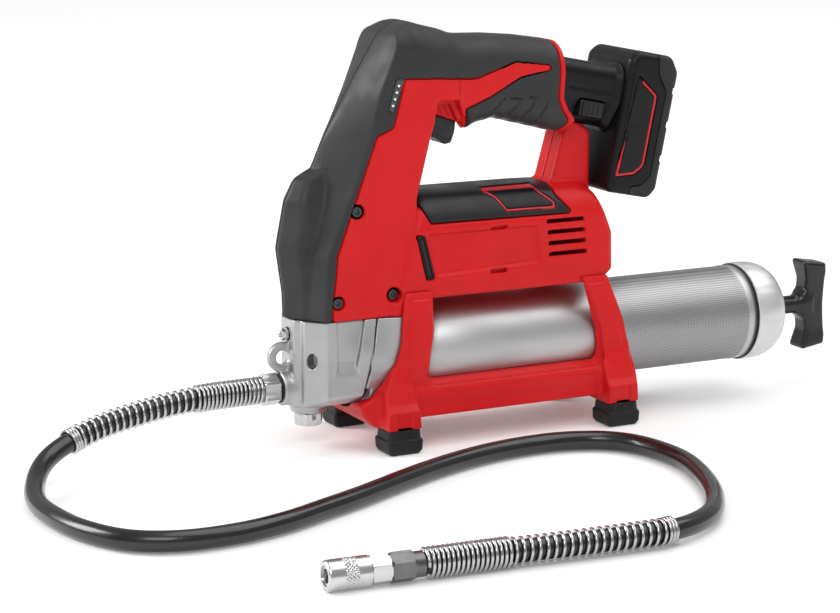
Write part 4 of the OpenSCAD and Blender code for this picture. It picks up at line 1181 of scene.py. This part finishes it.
def make_tube():
    spacing = KNURL_PITCH / 4 * COARSE
    knurl = [(x, TUBE_R) for x in np.arange(KNURL[0], KNURL[1], spacing)]
    profile = [(TUBE_ENDS[0], BORE_R), (TUBE_ENDS[0], TUBE_R), (-40, TUBE_R)] + knurl
    profile += [(115.6, TUBE_R), (116.4, TUBE_R + 0.25), (118.6, TUBE_R + 0.25), (119.4, TUBE_R),
                (TUBE_ENDS[1], TUBE_R), (TUBE_ENDS[1], BORE_R)]
    segments = KNURL_COUNT * 4
    part = turned(profile, segments, closed=True, shape=knurled)
    make_piece("grease_tube_piece", lifted(part, (0, 0, TUBE_Z)), TUBE, "tube_steel",
               ["grease_tube"])

    def flutes(x, radius, angle):
        """Faint flats round the cap, for the hand."""
        if radius < 27 or x < 124 or x > 146:
            return radius
        return radius - 0.16 * (0.5 + 0.5 * math.cos(20 * angle)) ** 4

    cap = [(112, BORE_R - 0.1), (123, BORE_R - 0.1), (123, 29.3), (123.5, 29.8), (124.2, 29.8),
           (127, 29.9), (131, 29.8), (135, 29.4), (138.5, 28.5), (141.5, 27.1), (144, 25.2),
           (146, 22.8), (147.4, 20.0), (148.3, 16.5), (148.7, 10), (148.6, 5.2), (148, 4.2),
           (144.2, 4.2), (144.2, 21), (138, BORE_R - 2.5), (112, BORE_R - 2.5)]
    part = turned(cap, 160, closed=True, shape=flutes)
    make_piece("rear_cap_piece", lifted(part, (0, 0, TUBE_Z)), CAP, "cap_metal", ["rear_cap"],
               crease=40)
    gasket = [(122.05, BORE_R), (122.05, 29.0), (122.3, 29.4), (122.8, 29.4), (122.95, 29.0),
              (122.95, BORE_R)]
    make_piece("cap_gasket_piece", lifted(turned(gasket, closed=True), (0, 0, TUBE_Z)), SEAL,
               "black_rubber", ["cap_gasket"])


HANDLE_SIDE = [(171.2, 57, 3), (173, 60, 4), (173.5, 66, 6), (170.8, 76.2, 1.2), (171.5, 78, 1.2),
               (187, 75.6, 1.5), (188, 70, 4), (186.6, 50, 60), (188, 30, 4), (187, 24.4, 1.5),
               (171.5, 22, 1.2), (170.8, 23.8, 1.2), (173.5, 34, 6), (173, 40, 4), (171.2, 43, 3)]


def make_t_handle():
    b = Block((148, -9, 21), (189, 9, 79), 0.6)
    reach = np.abs(b.y)
    waist = 6.6 + 1.4 * step(np.abs(b.z - TUBE_Z), 12, 27)
    grip = round_max(b.outline(HANDLE_SIDE), reach - waist, 2.6)
    axis = np.hypot(b.y, b.z - TUBE_Z)
    stalk = common(axis - 5.6, 149.4 - b.x, b.x - 175)
    handle = smooth_min(grip, stalk, 6.0)
    handle = cut(handle, np.maximum(axis - 4.1, b.x - 164.5))
    make_piece("t_handle_piece", b.mesh(handle), HANDLE, "dark_plastic", ["t_handle"], "rod")


def make_follower_spring():
    """The spring between the follower and the cap, which in the gun shortens as the plunger is pulled
    out; here it is built at one length, on a mesh of its own.
    """
    path = np.zeros((200, 3))
    path[:, 0] = np.linspace(-122.8, 142, 200)
    path[:, 2] = TUBE_Z
    part = coil(path, lambda s: FOLLOWER_PITCH, lambda s: FOLLOWER_RADIUS, FOLLOWER_WIRE)
    spring = make_piece("follower_spring_piece", part, SPRING, "spring_steel", ["follower_spring"])
    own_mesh(spring)


make_tube()
make_t_handle()
make_follower_spring()

# ---- trigger ----------------------------------------------------------------------------------
TRIGGER_SIDE = [(-97.5, 177.5, 1.2), (-93, 174, 3), (-86, 171.3, 5), (-80.5, 167.4, 1.5),
                (-76.5, 168, 1.5), (-74.2, 174, 3), (-73.4, 181, 1), (-92, 187, 1)]


def make_trigger():
    b = Block((-98, -9.5, 166), (-72, 9.5, 196), 0.5)
    reach = np.abs(b.y)
    shoe = round_max(b.outline(TRIGGER_SIDE), reach - 8.6, 1.6)
    lip = np.maximum(b.stroke([(-92, 172), (-85, 173.6), (-79, 170.4), (-76, 172.5)]) - 0.35,
                     -(shoe + 0.5))
    shoe = cut(shoe, lip)
    stem = bar(b, (-90, 179), (-78, 194), 5.5)
    make_piece("trigger_piece", b.mesh(np.minimum(shoe, stem)), RUBBER, "grey_rubber", ["trigger"],
               "trigger")


make_trigger()

# ---- battery ----------------------------------------------------------------------------------
BASE_W = 26.0
STEM_END = -78.0
LATCH_LOW, LATCH_HIGH = (-25, -13), (-8, -4)
LATCH_GAP = 0.3
BASE_SIDE = [(0, -54, 4), (30, -54, 5), (34, -48, 5), (34, 21, 6), (28, 29.5, 6), (5, 29.5, 6),
             (0, 24, 5)]
BUMPER_SIDE = [(15, -60), (15, -49, 1), (22, -47, 1), (27, -41, 2), (27, 9, 2), (20, 18, 2),
               (17, 34), (40, 34), (40, -60)]
BASE_LABEL = [(6.5, 15.5, 1), (21.5, 6, 3), (21.5, -36, 6), (16, -41.5, 3), (3.5, -44.5, 1)]


def battery_matrix():
    return (Matrix.Translation((BATTERY_AT[0], 0, BATTERY_AT[1]))
            @ Matrix.Rotation(BATTERY_TILT, 4, "Y"))


def make_battery_base():
    b = Block((-1, -27, -55), (35, 27, 31), 0.65)
    reach = np.abs(b.y)
    side = b.outline(BASE_SIDE)
    form = round_max(side, reach - BASE_W, 4.5)
    hollow = form + 2.4
    bumper = b.outline(BUMPER_SIDE)
    notches = np.full(b.counts, 9.0, np.float32)
    for z in (-30, -10, 10):
        notches = np.minimum(notches, box_distance(b.x, b.z, (31.8, z - 1.6), (36, z + 1.6)))
    # front part with the label's panel on each side
    label = b.outline(BASE_LABEL)
    front = np.maximum(round_max(form, 0.3 - bumper, 0.6), -hollow)
    front = cut(front, np.maximum(label - 0.3, BASE_W - 1.9 - reach))
    front = cut(front, np.maximum(box_distance(b.y, b.z, (-10, -10), (10, 10)), b.x - 2))
    front = cut(front, common(np.abs(b.x - 2.8) - 0.5, 24.9 - reach, b.z - 18))
    make_piece("battery_base_front", moved(b.mesh(front), battery_matrix()), BATTERY,
               "battery_plastic", ["battery_base_shell"], "battery")
    rear = np.maximum(round_max(form, bumper + 0.05, 0.6), -hollow)
    rear = cut(rear, notches, 0.4)
    make_piece("battery_bumper", moved(b.mesh(rear), battery_matrix()), BUMPER, "battery_plastic",
               ["battery_base_shell"], "battery")
    # label: red border and black middle, blank
    b = Block((1, -26.2, -47), (24, -23.6, 18), 0.5)
    label = b.outline(BASE_LABEL)
    plate = np.maximum(-25.65 - b.y, b.y + 24.15)
    edge = common(label + 0.1, -(label + 1.6), 8.5 + 0.12 * b.z - b.x)
    border = b.mesh(np.maximum(plate, edge))
    middle = b.mesh(common(plate, label + 0.15, -(edge - 0.1)))
    for name, part, material, slot in (("battery_label_edge", border, LABEL_RED, "red_plastic"),
                                       ("battery_label", middle, LABEL, "dark_plastic")):
        both = moved(joined([part, mirrored(part)]), battery_matrix())
        make_piece(name, both, material, slot, ["battery_base_shell"], "battery")


def make_battery_stem():
    b = Block((-79, -20, -19), (1, 20, 19), 0.7)
    reach = np.abs(b.y)
    section = outline_distance(b.y, b.z, STEM_OUTLINE)
    stem = round_max(section, STEM_END - b.x, 1.0)
    stem = cut(stem, common(section + 1.4, STEM_END + 2.8 - b.x, b.x - 1.0))
    stem = np.maximum(stem, b.x + 0.1)
    low = np.subtract(LATCH_LOW, LATCH_GAP)
    high = np.add(LATCH_HIGH, LATCH_GAP)
    stem = cut(stem, np.maximum(box_distance(b.x, b.z, low, high), 11 - reach))
    stem = cut(stem, common(np.abs(b.z - 3.0) - 0.5, -(section + 0.6), -34 - b.x, b.x + 4.0))
    stem = cut(stem, common(reach - 8.5, np.abs(b.z) - 8, b.x + 75))
    # rounded shoulder where the stem grows out of the base
    flange = round_max(section - 2.6 + 0.75 * np.maximum(-b.x - 1.0, 0), -6.0 - b.x, 2.0)
    flange = common(flange, b.x + 0.1, -(section + 1.0))
    high = (-6.0, high[1])
    flange = cut(flange, np.maximum(box_distance(b.x, b.z, low, high), 11 - reach))
    stem = np.minimum(stem, flange)
    make_piece("battery_stem", moved(b.mesh(stem), battery_matrix()), BATTERY, "battery_plastic",
               ["battery_case"], "battery")


def make_battery_latch():
    b = Block((-26, -22.5, -14), (-7, -14, -3), 0.4)
    ribs = 0.7 * step(np.cos(2 * math.pi * (b.x + 16.5) / 3.2), 0.0, 0.6)
    taper = 1.6 * step(np.abs(b.x + 16.5), 4, 8.5)
    face = -b.y - 21.2 - ribs + taper
    latch = round_max(box_distance(b.x, b.z, LATCH_LOW, LATCH_HIGH), face, 0.6)
    left = b.mesh(np.maximum(latch, b.y + 14.5))
    for name, part in (("left", left), ("right", mirrored(left))):
        make_piece(f"battery_latch_{name}_piece", moved(part, battery_matrix()), COVER,
                   "battery_plastic", [f"battery_latch_{name}"], f"latch_{name}")


make_battery_base()
make_battery_stem()
make_battery_latch()

# ---- inner parts keep their CAD shape ---------------------------------------------------------
NODE_FINISHES = {
    "check_ball": STEEL, "check_spring": SPRING, "piston_packing": PACKING,
    "follower": DARK_STEEL, "follower_seal": SEAL, "plunger_rod": STEEL,
    "motor_can": STEEL, "motor_magnets": DARK_STEEL, "motor_bushes": BRONZE, "rotor": COPPER,
    "sun_gear": STEEL, "ring_gear": DARK_STEEL, "gear_case": BLACK, "carrier_bearing": STEEL,
    "crank_carrier": DARK_STEEL, "planet_gear_1": STEEL, "planet_gear_2": STEEL,
    "planet_gear_3": STEEL, "yoke": DARK_STEEL, "pump_piston": STEEL, "switch_body": BLACK,
    "control_board": BOARD, "terminal_block": BRONZE, "battery_cells": WRAP,
}
for node_name, finish in NODE_FINISHES.items():
    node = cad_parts[node_name]
    for material_slot in node.material_slots:
        material_slot.link = "OBJECT"
        material_slot.material = finish

# ---- floor ------------------------------------------------------------------------------------
FLOOR_SIZE = 6.0


def floor_paper():
    """White paper that glows as painted light, as if lit from behind, more so away from the gun."""
    finish = Finish("floor_paper", (0.86, 0.86, 0.86), 0.75, Specular_IOR_Level=0.1)
    finish.vary_roughness(0.72, 0.78, 3)
    distance = finish.nodes.new("ShaderNodeVectorMath")
    distance.operation = "LENGTH"
    finish.links.new(finish.place, distance.inputs[0])
    # painted light: the floor itself emits, more so away from the gun
    painted_glow = finish.ramp(distance.outputs["Value"], 0.16, 0.5, 0.3, 1.2)
    finish.set("Emission Color", (1.0, 1.0, 1.0, 1.0))
    finish.links.new(painted_glow, finish.shader.inputs["Emission Strength"])
    return finish.material


def add_floor():
    half = FLOOR_SIZE / 2
    mesh = bpy.data.meshes.new("floor")
    mesh.from_pydata([(-half, -half, 0), (half, -half, 0), (half, half, 0), (-half, half, 0)], [],
                     [(0, 1, 2, 3)])
    mesh.materials.append(floor_paper())
    floor = show("floor", mesh)


add_floor()
